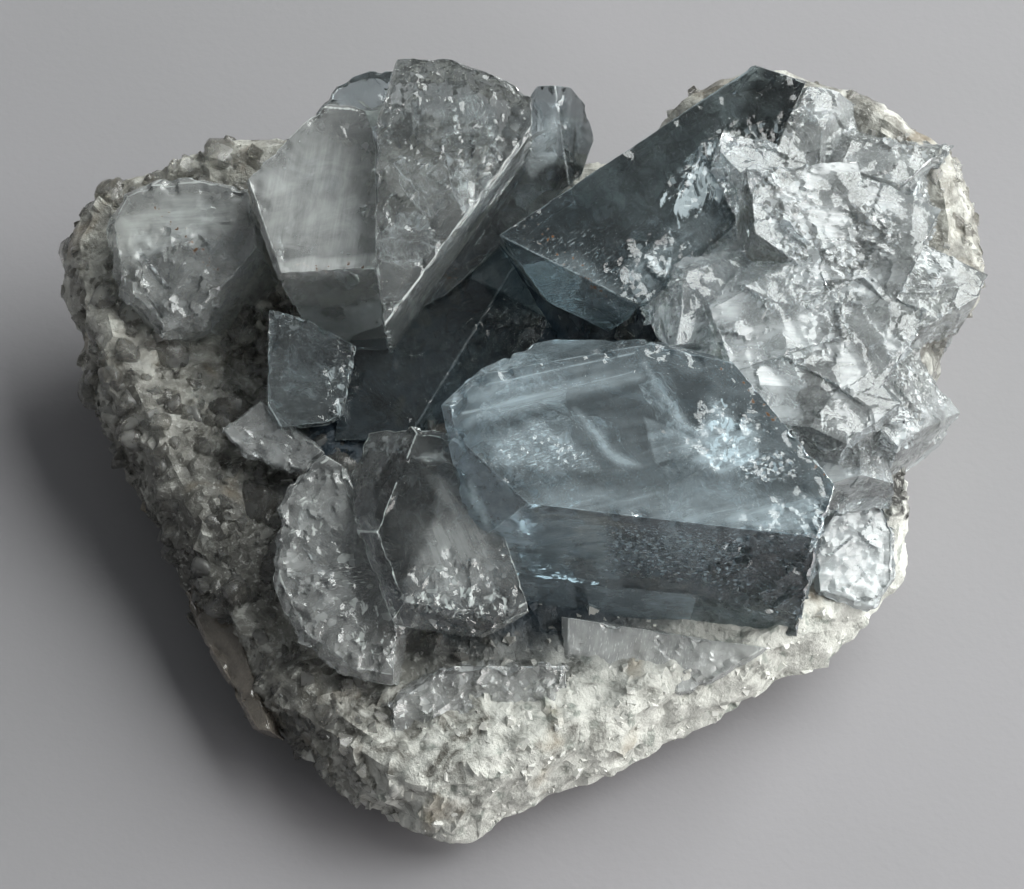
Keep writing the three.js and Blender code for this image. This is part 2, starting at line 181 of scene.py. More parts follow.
# %% Noise and ramps
def lump_nodes(tree, place, scale, stretch, shift, detail, roughness, distortion):
    """Soft noise on a place that is first shifted and stretched."""
    moved = put(tree, "ShaderNodeMapping", {
        "Vector": place, "Location": (shift, shift * 0.7, shift * 0.3), "Scale": stretch,
    })
    return put(tree, "ShaderNodeTexNoise", {
        "Vector": moved.outputs["Vector"], "Scale": scale, "Detail": detail, "Roughness": roughness,
        "Distortion": distortion,
    }).outputs["Fac"]


def noise_nodes(tree, scale_mm, detail=4.0, roughness=0.55, distortion=0.0, shift=0.0):
    """Soft noise whose lumps are about scale_mm apart."""
    scale = 1 / (scale_mm * MM)
    return lump_nodes(tree, place_nodes(tree), scale, (1, 1, 1), shift, detail, roughness, distortion)


def ramp_nodes(tree, source, low, high, to_low=0.0, to_high=1.0):
    """Maps low..high of a value to to_low..to_high, held inside those ends."""
    return put(tree, "ShaderNodeMapRange", {
        "Value": source, "From Min": low, "From Max": high, "To Min": to_low, "To Max": to_high,
    }).outputs["Result"]


# %% Sums, mixes and bumps
def math_nodes(tree, operation, *values):
    return put(tree, "ShaderNodeMath", dict(enumerate(values)), operation=operation).outputs[0]


def total(tree, *parts):
    """The sum of weight times value, over pairs."""
    result = 0.0
    for weight, value in parts:
        result = math_nodes(tree, "MULTIPLY_ADD", value, weight, result)
    return result


# the numbers of the Mix node's sockets for colours
MIX_SHARE, MIX_FIRST, MIX_SECOND, MIX_RESULT = 0, 6, 7, 2


def mix_colours(tree, share, first, second):
    values = {MIX_SHARE: share, MIX_FIRST: first, MIX_SECOND: second}
    return put(tree, "ShaderNodeMix", values, data_type="RGBA").outputs[MIX_RESULT]


def scale_colour(tree, colour, factor):
    return put(tree, "ShaderNodeVectorMath", {0: colour, "Scale": factor}, operation="SCALE").outputs[0]


def bump_nodes(tree, shader, height, strength, distance_mm):
    values = {"Height": height, "Strength": strength, "Distance": distance_mm * MM}
    feed(tree, shader, {"Normal": put(tree, "ShaderNodeBump", values).outputs["Normal"]})


# %% [markdown]
# ## Floor
# The specimen stands on a plain pale surface. A thin slab would do, but its rim could come into
# view. So one large flat grid lies under it, with soft patches and a fine grain in its material.

# %% Floor
FLOOR_SIZE = 3.0
FLOOR_COLOURS = (0.29, 0.285, 0.295), (0.32, 0.31, 0.325)


def floor_material():
    material, tree, shader = new_material("floor")
    patches = ramp_nodes(tree, noise_nodes(tree, 90, 3), 0.35, 0.65)
    feed(tree, shader, {"Base Color": mix_colours(tree, patches, *FLOOR_COLOURS), "Roughness": 0.95})
    bump_nodes(tree, shader, noise_nodes(tree, 0.8, 2), 0.15, 0.15)
    return material


def add_object(bm, name):
    """Makes an object of a mesh that is in metres."""
    data = bpy.data.meshes.new(name)
    bm.to_mesh(data)
    bm.free()
    piece = bpy.data.objects.new(name, data)
    bpy.context.collection.objects.link(piece)
    return piece


floor_mesh = bmesh.new()
bmesh.ops.create_grid(floor_mesh, x_segments=1, y_segments=1, size=FLOOR_SIZE)
floor = add_object(floor_mesh, "floor")
floor.data.materials.append(floor_material())
print("floor of", 2 * FLOOR_SIZE, "m")

# %% [markdown]
# ## How a crystal is cut
# A celestite crystal is a block bounded by flat faces that meet at fixed angles. It could be drawn
# corner by corner, but then a face with many corners is seldom flat. So each crystal starts as a
# cube, and a plane for each face cuts away what lies outside it. Its size comes from its top
# face's outline and the angle at each edge.

# %% Crystal faces
PRISM_TO_PRISM = 75.8
PRISM_TO_BASE = 52.1
DOME = 50.6
TIP = 38
SQUARE = 90
UNDERCUT = 98
UNCUT_SIZE = 160


def face_frame(tilt, facing):
    """Right, up and outward directions of a face."""
    lean, way = math.radians(tilt), math.radians(facing)
    out = Vector((math.sin(lean) * math.cos(way), math.sin(lean) * math.sin(way), math.cos(lean)))
    right = Vector((0, 1, 0)).cross(out).normalized()
    return right, out.cross(right), out


def crystal_planes(at, tilt, facing, corners, angles, depth, spread=0, extra=()):
    """A point and an outward normal for each face, in mm."""
    right, up, out = face_frame(tilt, facing)
    centre = Vector(at)

    def place(u, v, w=0.0):
        return centre + right * u + up * v + out * w

    planes = [(centre, out), (centre - out * depth, -out)]
    points = [place(*corner) for corner in corners]
    middle = sum(points, Vector()) / len(points)
    for i, start in enumerate(points):
        away = (points[(i + 1) % len(points)] - start).cross(out).normalized()
        if away.dot(start - middle) < 0:
            away.negate()

        def leaning(degrees):
            angle = math.radians(degrees)
            return out * math.cos(angle) + away * math.sin(angle)

        planes.append((start, leaning(angles[i % len(angles)])))
        reach = spread[i] if isinstance(spread, list) else spread
        if reach > 0:
            planes.append((start + away * reach, leaning(UNDERCUT)))
    for through, looks in extra:
        normal = right * looks[0] + up * looks[1] + out * looks[2]
        planes.append((place(*through), normal.normalized()))
    return planes


def cut_away(bm, point, normal):
    """Cuts off what lies beyond a plane, and closes the cut."""
    geometry = bm.verts[:] + bm.edges[:] + bm.faces[:]
    cut = bmesh.ops.bisect_plane(
        bm, geom=geometry, dist=1e-5, plane_co=point, plane_no=normal, clear_outer=True
    )
    rim = [e for e in cut["geom_cut"] if isinstance(e, bmesh.types.BMEdge)]
    if len(rim) > 2:
        bmesh.ops.contextual_create(bm, geom=rim)


def body_inside(planes, centre):
    """The closed body inside the planes, cut from a cube round centre."""
    bm = bmesh.new()
    bmesh.ops.create_cube(bm, size=UNCUT_SIZE, matrix=Matrix.Translation(centre))
    for point, normal in planes:
        cut_away(bm, point, normal)
    bmesh.ops.remove_doubles(bm, verts=bm.verts[:], dist=1e-3)
    bmesh.ops.recalc_face_normals(bm, faces=bm.faces[:])
    return bm


# %% The crystals
CRYSTALS = {
    "main_crystal": dict(
        at=(9.5, -11, 33), tilt=10, facing=-90,
        corners=[(-9, -6.5), (-16, 0.5), (-16.5, 3.5), (-13, 7), (3, 10), (11, 8), (20.5, -4.5), (19, -10)],
        angles=[60, 62, DOME, PRISM_TO_BASE, PRISM_TO_BASE, SQUARE, SQUARE, PRISM_TO_PRISM],
        spread=[6, 1, 1.2, 5, 1, 0, 0, 0], depth=19,
    ),
    "dark_crystal": dict(
        at=(12, 17, 34), tilt=33, facing=-70,
        corners=[(-14, -6), (10, 14), (15.5, 13), (10.5, -1.5), (1.5, -11.5)],
        angles=[UNDERCUT, SQUARE, SQUARE, SQUARE, PRISM_TO_BASE],
        spread=[0, 0, 0, 0, 4], depth=15,
        extra=[((-2, 4.2, 0), (-0.4, 0.5, 0.75)), ((-14, -6, 0), (-0.72, -0.69, -0.12))],
    ),
    "pocket_crystal": dict(
        at=(-8.5, 5, 17), tilt=20, facing=-90,
        corners=[(-10.5, -6), (-9, 5.5), (-4, 8.5), (6, 14.5), (12.5, 5.5), (0, -5.5)],
        angles=[SQUARE], depth=8, extra=[((4, 6, 0), (0.5, -0.3, 0.8))],
    ),
    "back_crystal": dict(
        at=(-7, 15.5, 38), tilt=22, facing=-90,
        corners=[
            (-7.5, 6), (-5.5, 12.5), (0, 12.5), (5.5, 10.5), (8, 8.5), (8, 5), (-6.5, -14.5), (-7.5, -8.5),
        ],
        angles=[SQUARE], depth=20, extra=[((7.2, 4.6, 0), (0.62, -0.45, 0.75))],
    ),
    "milky_crystal": dict(
        at=(-21, 17, 34), tilt=15, facing=-100,
        corners=[(-6.5, 2), (-1, 7), (1, 9), (5.5, 8.5), (6.5, 5.5), (6.5, -8), (-3, -8.5)],
        angles=[SQUARE, SQUARE, TIP, SQUARE, SQUARE, PRISM_TO_PRISM, PRISM_TO_BASE],
        spread=[0, 0, 0.6, 0, 0, 0, 0.7], depth=16,
    ),
    "left_crystal": dict(
        at=(-34.5, 15, 26), tilt=15, facing=-120,
        corners=[(-7, 4), (-5.5, 6.5), (-3, 7.5), (2, 7.5), (7, 6), (8, 0), (2, -6.5), (-2, -7.5), (-6, -3)],
        angles=[DOME, PRISM_TO_BASE, TIP, PRISM_TO_BASE, SQUARE, SQUARE, DOME, PRISM_TO_BASE, DOME],
        spread=[1, 1, 1, 0.6, 0, 0, 1, 1.4, 1.4], depth=13,
    ),
    "window_crystal": dict(
        at=(-21.5, 2.5, 24), tilt=25, facing=-90,
        corners=[(-4, 6), (-1, 5.5), (4.5, 2.5), (4.5, 0), (3.5, -4.5), (2, -5.5), (-2.5, -6), (-4, -3.5)],
        angles=[SQUARE, SQUARE, DOME, SQUARE, DOME, SQUARE, DOME, SQUARE], spread=0.5, depth=11,
    ),
    "far_back_crystal": dict(
        at=(-1, 22, 27), tilt=30, facing=-90,
        corners=[(2.5, 10.5), (6, 10.5), (7.5, 9), (8.5, 5.5), (6.5, 1), (-7, -11), (-10, -12.5), (-8, -6)],
        angles=[SQUARE, SQUARE, DOME, PRISM_TO_BASE, SQUARE, SQUARE, SQUARE, SQUARE],
        spread=[0, 0, 0.6, 0.6, 0, 0, 0, 0], depth=14, extra=[((5, 6, 0), (0.7, 0.1, 0.6))],
    ),
    "clear_crystal": dict(
        at=(-8, -16, 26), tilt=20, facing=-90,
        corners=[(-6.5, 9.5), (1.5, 8), (4.5, 4), (8.5, -8), (6, -9.5), (-3.5, -8), (-8.5, 4.5)],
        angles=[PRISM_TO_BASE, SQUARE, SQUARE, TIP, PRISM_TO_BASE, PRISM_TO_BASE, TIP],
        spread=[0.8, 0, 0, 1, 2.5, 2, 1.5], depth=14, extra=[((-3, 7, 0), (-0.75, 0.3, 0.75))],
    ),
    "rounded_crystal": dict(
        at=(-19, -18, 20), tilt=22, facing=-110,
        corners=[
            (-3.5, 8.5), (0.5, 11), (2, 10), (7, -3.5), (6, -11), (1.5, -10), (-3, -6), (-5, -0.5),
            (-5, 3.5),
        ],
        angles=[TIP, SQUARE, SQUARE, SQUARE, PRISM_TO_BASE, DOME, TIP, PRISM_TO_BASE, DOME],
        spread=[0.8, 0, 0, 0, 1.2, 1.4, 1.2, 1, 1], depth=13,
    ),
    "far_left_crystal": dict(
        at=(-17.5, 29.5, 31), tilt=15, facing=180,
        corners=[(-3, 0), (-0.5, 3.5), (2, 4), (4.5, 3.5), (3, -3), (0, -4)],
        angles=[TIP, SQUARE, SQUARE, SQUARE, SQUARE, DOME], spread=[1, 0.4, 0, 0, 0, 1], depth=13,
    ),
    "right_crystal": dict(
        at=(33.5, -13.5, 16.5), tilt=30, facing=-60,
        corners=[(-2, 4.5), (1, 6), (3.5, 2), (4, -3), (2.5, -6), (-3.5, -5), (-4.5, -0.5)],
        angles=[DOME, TIP, DOME, PRISM_TO_BASE, DOME, SQUARE, SQUARE],
        spread=[0.6, 0.6, 0.8, 0.8, 0.8, 0, 0], depth=9,
    ),
    "smoky_crystal": dict(
        at=(-30, -22, 8.5), tilt=20, facing=-150,
        corners=[(-4, 8), (-2.5, 8.5), (1.5, 3), (5, -8.5), (3.5, -8), (-1.5, 1.5)],
        angles=[SQUARE, SQUARE, SQUARE, SQUARE, DOME, DOME], spread=[0, 0, 0, 0, 0.6, 0.6], depth=4,
    ),
    "wedge_crystal": dict(
        at=(-25.5, -3.5, 20), tilt=30, facing=-90,
        corners=[(-4.5, 1), (-0.5, 4), (5.5, -1), (3.5, -3), (-2, -1.5)],
        angles=[DOME, SQUARE, DOME, PRISM_TO_BASE, TIP], spread=[0.5, 0, 0.5, 0.8, 0.5], depth=7,
    ),
    "front_crystal": dict(
        at=(-4, -31, 13.5), tilt=35, facing=-90,
        corners=[(-9, 1), (-3, 5), (8, 5), (8, -2), (0, -4.5), (-8, -5)],
        angles=[TIP, SQUARE, DOME, PRISM_TO_BASE, DOME, TIP], spread=0.8, depth=6,
    ),
    "pale_blade": dict(
        at=(11.5, -24.5, 14.5), tilt=30, facing=-90,
        corners=[(-7, 3.5), (12.5, 0.5), (5, -4), (-7, -3)],
        angles=[SQUARE, DOME, PRISM_TO_BASE, TIP], spread=[0, 0.6, 0.8, 0.8], depth=6,
    ),
}

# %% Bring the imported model's origin and the crystals' places together
first = body_inside(crystal_planes(**CRYSTALS["main_crystal"]), Vector(CRYSTALS["main_crystal"]["at"]))
own_low = Vector([min(v.co[i] for v in first.verts) for i in range(3)])
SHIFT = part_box("main_crystal")[0] / MM - own_low
first.free()
print("shift of the model's origin, mm:", [round(v, 2) for v in SHIFT])

# %% [markdown]
# ## A fine skin
# Glass shows every unevenness. A bump in the material would only bend the reflections, and the
# outline and what is seen through the crystal would stay too smooth. So the flat faces are divided
# into small triangles and moved a little. Grown faces get low growth steps along the crystal.
# Broken faces get shell-like scoops and splinters.

# %% Divide, soften and displace
def divide(bm, longest, fine=None, coarser=3.0):
    """Splits edges until hardly any is longer than longest, in mm, or coarser times that where not fine."""
    bmesh.ops.triangulate(bm, faces=bm.faces[:])
    rounds = math.ceil(math.log2(max(e.calc_length() for e in bm.edges) / longest)) + 1

    def allowed(edge):
        if fine is None or any(fine(f) for f in edge.link_faces):
            return longest
        return longest * coarser

    for _ in range(rounds):
        bm.normal_update()
        long_edges = [e for e in bm.edges if e.calc_length() > allowed(e)]
        bmesh.ops.subdivide_edges(bm, edges=long_edges, cuts=1)
        bmesh.ops.triangulate(bm, faces=[f for f in bm.faces if len(f.verts) > 3])


def soften_edges(bm, width):
    """Rounds the sharp edges a little, as on any real crystal."""
    sharp = [e for e in bm.edges if e.is_manifold and e.calc_face_angle(0) > math.radians(12)]
    bmesh.ops.bevel(
        bm, geom=sharp, offset=width, offset_type="OFFSET", segments=2, profile=0.5,
        affect="EDGES", material=-1, clamp_overlap=True,
    )
    bmesh.ops.remove_doubles(bm, verts=bm.verts[:], dist=0.01)
    bmesh.ops.dissolve_degenerate(bm, dist=0.01, edges=bm.edges[:])


def displace(bm, height):
    """Moves each vertex along its normal by height(vertex), in mm."""
    bm.normal_update()
    moves = [vertex.normal * height(vertex) for vertex in bm.verts]
    for vertex, move in zip(bm.verts, moves):
        vertex.co += move


# %% Steps, drift and shells
def step_between(low, high, value):
    share = min(max((value - low) / (high - low), 0.0), 1.0)
    return share * share * (3 - 2 * share)


DRIFT_PLACES = Vector((9.3, 0, 0)), Vector((0, 7.9, 0)), Vector((0, 0, 5.1))


def drift(spot):
    """A noise for each direction, which bends what is laid out by it."""
    return Vector([noise.noise(spot + place) for place in DRIFT_PLACES])


def shells(place, cell, seed):
    """A broken surface: shell-like hollows, each with its own slant, that meet in sharp ridges."""
    spot = place / cell + Vector((seed, seed * 0.7, -seed))
    spot += 0.55 * drift(spot * 0.9)
    distances, points = noise.voronoi(spot)
    nearest = Vector(points[0])
    slant = Vector(noise.cell_vector(nearest * 37.0)) - Vector((0.5, 0.5, 0.5))
    bowl = min(distances[0], 1.0)
    return cell * (0.45 * (spot - nearest).dot(slant) + 0.28 * bowl * bowl - 0.1)


# %% From a mesh to a piece
def shade(bm, sharp_degrees):
    """Smooth shading, broken at edges that turn by more than the given angle."""
    for face in bm.faces:
        face.smooth = True
    for edge in bm.edges:
        edge.smooth = edge.calc_face_angle(0) < math.radians(sharp_degrees)


to_metres = Matrix.Scale(MM, 4) @ Matrix.Translation(SHIFT)
from_metres = Matrix.Translation(-SHIFT) @ Matrix.Scale(1 / MM, 4)


def to_object(bm, name, sharp_degrees=28):
    """Moves a finished mesh to its place, in metres, and makes it a piece."""
    bm.normal_update()
    shade(bm, sharp_degrees)
    bmesh.ops.transform(bm, matrix=to_metres, verts=bm.verts[:])
    return add_object(bm, name)


def hand_over(piece, material, node=None):
    """Gives a piece its material, its body, the node that it replaces, if any."""
    piece.data.materials.append(material)
    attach(piece, "root")
    if node:
        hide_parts(node)
    print(piece.name, len(piece.data.polygons), "faces")


# %% Depth inside an outline
def inside_outline(corners, u, v):
    """How far a place lies inside an outline, in mm, and below 0 outside it."""
    inside, nearest = False, 1e9
    for i, (x0, y0) in enumerate(corners):
        x1, y1 = corners[(i + 1) % len(corners)]
        along = ((u - x0) * (x1 - x0) + (v - y0) * (y1 - y0)) / ((x1 - x0) ** 2 + (y1 - y0) ** 2)
        along = min(max(along, 0), 1)
        nearest = min(nearest, math.hypot(u - x0 - along * (x1 - x0), v - y0 - along * (y1 - y0)))
        if (y0 > v) != (y1 > v) and u < (x1 - x0) * (v - y0) / (y1 - y0) + x0:
            inside = not inside
    return nearest if inside else -nearest


# %% [markdown]
# ## Zones
# Parts of a crystal differ: clouded, dark, splintered, or stained with rust. Dark zones are partly a
# darker crystal, and on faces turned to the camera painted shade. Sparkle zones get small facets in
# the bump and painted glints, glitter zones painted glints, and torn zones white splinters that are
# partly painted glints. The zones could be painted by hand, but numbers are easier to check and to
# change. Each zone is an outline with straight sides, in mm from the centre of the crystal's top
# face. A zone on a front face counts its second number downwards from the top face. After the
# outline come the softness of its edge, in mm, and its strength.

# %% Zones of each crystal
ZONE_KINDS = MILK, DARK, SPARKLE, RUST, TORN, GLITTER = "milk", "dark", "sparkle", "rust", "torn", "glitter"
TOP, FRONT = "top", "front"
CRISP = 0.2
ZONES = {
    "main_crystal": [
        (MILK, TOP, [(-15, 1.5), (2, 6.2), (2, 7.2), (-13, 5.5)], 0.6, 0.3),
        (MILK, TOP, [(-15, 3.8), (-12, 4.2), (1, 8.2), (-12, 6.8)], 0.5, 0.2),
        (DARK, TOP, [(-15, 0), (1, 4.5), (2, 5.8), (-14, 1.6)], 0.6, 0.6),
        (DARK, TOP, [(-4, 3), (1, 4.6), (5, 1), (6, -2.5), (3.5, -2.6), (2.2, 2.4)], 0.6, 0.45),
        (SPARKLE, TOP, [(-12.6, -2), (-11, 0.6), (-8, 2.2), (-2, -2.8), (-9, -3)], 0.6, 0.4),
        (GLITTER, TOP, [(-12.6, -2), (-11, 0.6), (-8, 2.2), (-2, -2.8), (-9, -3)], 0.8, 0.8),
        (MILK, TOP, [(-12.6, -2), (-11, 0.6), (-8, 2.2), (-2, -2.8), (-9, -3)], 0.6, 0.3),
        (MILK, TOP, [(-4.6, 3.4), (-3.4, 2.0), (1.4, -2.8), (-0.4, -2.6)], 0.5, 0.6),
        (MILK, TOP, [(2.2, 8.0), (3.4, 5.6), (7.4, 0.6), (5.6, 1.6)], 0.5, 0.6),
        (DARK, TOP, [(4.5, 8), (9, 6), (8, 1.5), (6.8, 1.6)], 0.5, 0.6),
        (DARK, TOP, [(-4, -2.5), (1, -4), (19, -4.6), (18, -6), (0, -6.5), (-4, -5)], 1.2, 0.35),
        (MILK, TOP, [(2.2, 2.4), (3.3, -2.4), (9.3, -0.8)], 0.12, 0.28),
        (RUST, TOP, [(2.2, 2.4), (3.3, -2.4), (9.3, -0.8)], 0.3, 0.25),
        (TORN, TOP, [(8.3, 3.4), (10, 5.2), (12.9, 1), (12.9, -2.6), (9.5, -3.6), (7.2, -2.6)], 1.2, 0.8),
        (MILK, TOP, [(8.3, 4.5), (12.9, 1), (12.9, -1.6), (9.5, -3.6), (7.4, -2.4)], 0.8, 0.6),
        (MILK, TOP, [(8.8, 4.4), (12.4, 0.8), (13.0, -1.2), (9.8, -3.0), (7.4, -2.2)], 0.12, 0.4),
        (MILK, TOP, [(13.2, -0.9), (13.2, -1.7), (9.8, -3.6), (7.0, -2.8), (9.8, -2.7)], 0.12, 0.9),
        (SPARKLE, TOP, [(11.5, -1.5), (16.5, -1.5), (17, -4), (12, -4)], 0.5, 1.0),
        (GLITTER, TOP, [(11.5, -1.5), (16.5, -1.5), (17, -4), (12, -4)], 0.8, 0.8),
        (MILK, TOP, [(9, -7.5), (19, -5.5), (19, -9.3), (4, -8)], 0.8, 0.5),
        (MILK, TOP, [(-15.4, 2.5), (1.2, 6.9), (1.2, 7.1), (-15.4, 2.9)], 0.1, 0.5),
        (MILK, TOP, [(-13, 5.6), (1.4, 8.9), (1.4, 9.05), (-13, 5.85)], 0.1, 0.45),
        (MILK, TOP, [(-9, -6.5), (19, -10), (19, -6), (8, -4.5), (-4, -4.6)], 1.2, 0.3),
        # Painted shade: the dark zones on the front face, which looks at the camera and gets little light.
        (DARK, FRONT, [(-8.6, 0), (30, 0), (30, 30), (-7.5, 30)], 0.4, 0.6),
        (MILK, FRONT, [(-19, -1), (-9, -1), (-8.4, 16), (-19, 12)], 0.8, 0.5),
        (DARK, FRONT, [(-10, 7.5), (0, 7.5), (0, 13), (-10, 13)], 0.8, 1.0),
        (MILK, FRONT, [(-10, 7.5), (0, 7.5), (0, 13), (-10, 13)], 0.8, 0.5),
        (MILK, FRONT, [(-9, 0.6), (-2, 0.6), (-2, 12), (-9, 12)], 1.2, 0.35),
        (DARK, FRONT, [(8, 4), (30, 2), (30, 30), (9, 30)], 1.0, 1.0),
        (SPARKLE, FRONT, [(-1, 2.5), (12, 1.5), (12, 10), (-1, 10)], 1.0, 1.0),
        (GLITTER, FRONT, [(-2, 1.5), (12, 0.8), (12, 9), (-1, 8)], 1.2, 1.0),
        (GLITTER, FRONT, [(9, 5), (19, 5), (19, 17), (9, 17)], 1.5, 0.7),
        (MILK, FRONT, [(-3.5, 12.8), (7.7, 12.2), (7.0, 18.5), (-2.5, 18.5)], 0.12, 0.5),
        (MILK, FRONT, [(-12, 11), (-4.4, 11.5), (-4.0, 18.5), (-12, 18.5)], 0.12, 0.4),
        (RUST, TOP, [(10, 8.6), (20.6, -4.2), (20, -4.8), (9.6, 7.8)], 0.3, 0.9),
    ],
    "dark_crystal": [
        (TORN, TOP, [(1.5, -1), (6, 6.5), (9.5, 7), (9, 1), (5, -3)], 1.5, 0.95),
        (SPARKLE, TOP, [(2, 1), (8, 8), (11, 5), (6, -2)], 0.8, 0.7),
        (MILK, TOP, [(-1, -8), (2, -11), (9, -2), (6, -1)], 0.8, 0.4),
        (TORN, TOP, [(-1, -7), (2, -11), (9, -3), (5, -1)], 0.9, 0.6),
        (MILK, TOP, [(-12, -8), (-6, -7), (2, -12), (-4, -14)], 0.8, 0.3),
        (DARK, TOP, [(-15, -6.5), (-4, -6), (6, 6), (9, 16), (0, 12)], 0.8, 0.4),
        (DARK, TOP, [(9, 9), (11, 16), (18, 14), (13, 6)], 0.4, 1.0),
        (RUST, TOP, [(-12, -4.5), (-3, -11), (-2, -10), (-11, -3.5)], 0.4, 0.8),
        (GLITTER, TOP, [(-12, -6), (-4, -4), (0, -9), (-6, -11)], 1.0, 0.5),
    ],
    "pocket_crystal": [
        (RUST, TOP, [(-0.8, 9.6), (0.2, 12.8), (2.8, 12.8), (2.4, 9.8)], 0.5, 1.0),
        (MILK, TOP, [(3.2, 10.9), (6.2, 16), (11.7, 7.3)], 0.12, 0.35),
    ],
    "milky_crystal": [
        (MILK, TOP, [(-6, -6), (5, -6.5), (5.5, 4), (0, 6), (-5, 1)], 1.5, 0.3),
        (DARK, TOP, [(-4, -5), (-1, -6), (2, 5), (-1, 5)], 1.0, 0.3),
        (MILK, TOP, [(-6, -8.6), (6.5, -8.1), (6.5, -6.9), (-6, -7.2)], 0.3, 0.6),
        (TORN, TOP, [(-6.5, -8.5), (6.5, -8.1), (6.5, -7.2), (-6.5, -7.4)], 0.6, 0.45),
        (RUST, TOP, [(-3, -8.6), (6.5, -8.1), (6.5, -7.3), (-3, -7.6)], 0.3, 0.4),
        # Painted shade: the front face, which looks at the camera.
        (DARK, FRONT, [(-16, 0), (30, 0), (30, 30), (-16, 30)], 0.3, 0.4),
    ],
    "far_back_crystal": [
        (DARK, TOP, [(5.2, 12), (12, 12), (12, 0), (4, 0)], 0.3, 0.9),
        (DARK, TOP, [(-8, 12), (5.2, 12), (4, 8), (0, 3), (-6, -6)], 0.4, 0.5),
        (MILK, TOP, [(0, 4), (4.5, 7.5), (5, 4), (2, 1)], 0.4, 0.5),
    ],
    "back_crystal": [
        (GLITTER, TOP, [(-7, 5), (-5, 12), (5, 10), (8, 7), (2, 2), (-4, 3)], 1.0, 0.25),
        # Painted shade: the head is darkened, where the window's light would make it too pale.
        (DARK, TOP, [(-6, 4), (-5, 14), (6, 12), (9, 7), (3, 2)], 1.5, 0.75),
        (TORN, TOP, [(-7.5, 3), (-2, 3.4), (-3, -2), (-7.5, -3)], 1.0, 0.4),
    ],
    "clear_crystal": [
        (DARK, TOP, [(-6.5, 5), (-4, 7.5), (0, 4), (-1, -2), (-4, -7), (-6, -6)], 0.4, 1.0),
        (MILK, TOP, [(-2, 0), (4, 0.5), (6, -6), (-2, -8)], 1.5, 0.38),
        (MILK, TOP, [(-2, 5), (2, 3.5), (5, -3), (4, -4)], 0.3, 0.4),
        (TORN, TOP, [(-5, -7), (2, -6.2), (8.5, -7.2), (6, -10), (-4, -9)], 0.8, 0.75),
        (TORN, TOP, [(0, 8), (3, 7), (8, -5), (6.6, -6)], 0.6, 0.6),
    ],
    "rounded_crystal": [
        (SPARKLE, TOP, [(-1.5, -1), (2, 2), (4, -2), (2, -6)], 0.6, 1.0),
        (GLITTER, TOP, [(-1.5, -1), (2, 2), (4, -2), (2, -6)], 0.6, 1.0),
        (TORN, TOP, [(-4, 7), (-1, 9), (0.5, 4), (-4, 0)], 1.0, 0.7),
        (TORN, TOP, [(1, -3), (5, -3), (6, -10), (2, -9)], 1.0, 0.7),
        (DARK, TOP, [(2, 1), (5, 2), (6, -9), (3, -9)], 0.6, 0.5),
    ],
    "left_crystal": [
        (DARK, TOP, [(-3, 0), (1, 1), (3, -6), (-2, -7)], 0.8, 0.5),
        (MILK, TOP, [(-6, 4), (0, 6), (6, 5), (5, 2), (-5, 0)], 1.0, 0.4),
        (TORN, TOP, [(-2, -1), (3, 0), (4, -4), (0, -7)], 1.0, 0.35),
        (RUST, TOP, [(-3, 5), (-2.2, 5.4), (4, -2), (3.3, -2.4)], 0.3, 0.9),
    ],
    "window_crystal": [
        (DARK, TOP, [(-3, 3.5), (3, 2.5), (2.6, -3), (-2, -4.5)], 0.6, 0.35),
        (TORN, TOP, [(2, 3), (4.8, 2), (4, -5), (2, -5.8), (1.6, -2)], 0.7, 0.7),
        (GLITTER, TOP, [(-4, 6), (4.5, 3), (4, -5), (-4, -4)], 1.0, 0.4),
    ],
    "pale_blade": [
        (MILK, TOP, [(-7, 3.5), (12.5, 0.5), (5, -4), (-7, -3)], 1.0, 0.3),
        (GLITTER, TOP, [(-7, 3), (8, 1), (5, -4), (-7, -3)], 1.0, 0.5),
    ],
    "front_crystal": [
        (TORN, TOP, [(-9, 1), (-3, 5), (8, 5), (8, -2), (0, -4.5), (-8, -5)], 1.5, 0.6),
    ],
    "right_crystal": [
        (MILK, TOP, [(-4, 5), (4, 5), (4, -6), (-4, -6)], 1.5, 0.35),
        (TORN, TOP, [(-4, 5), (4, 5), (4, -6), (-4, -6)], 1.5, 0.4),
    ],
}
print(sum(map(len, ZONES.values())), "zones on", len(ZONES), "crystals")
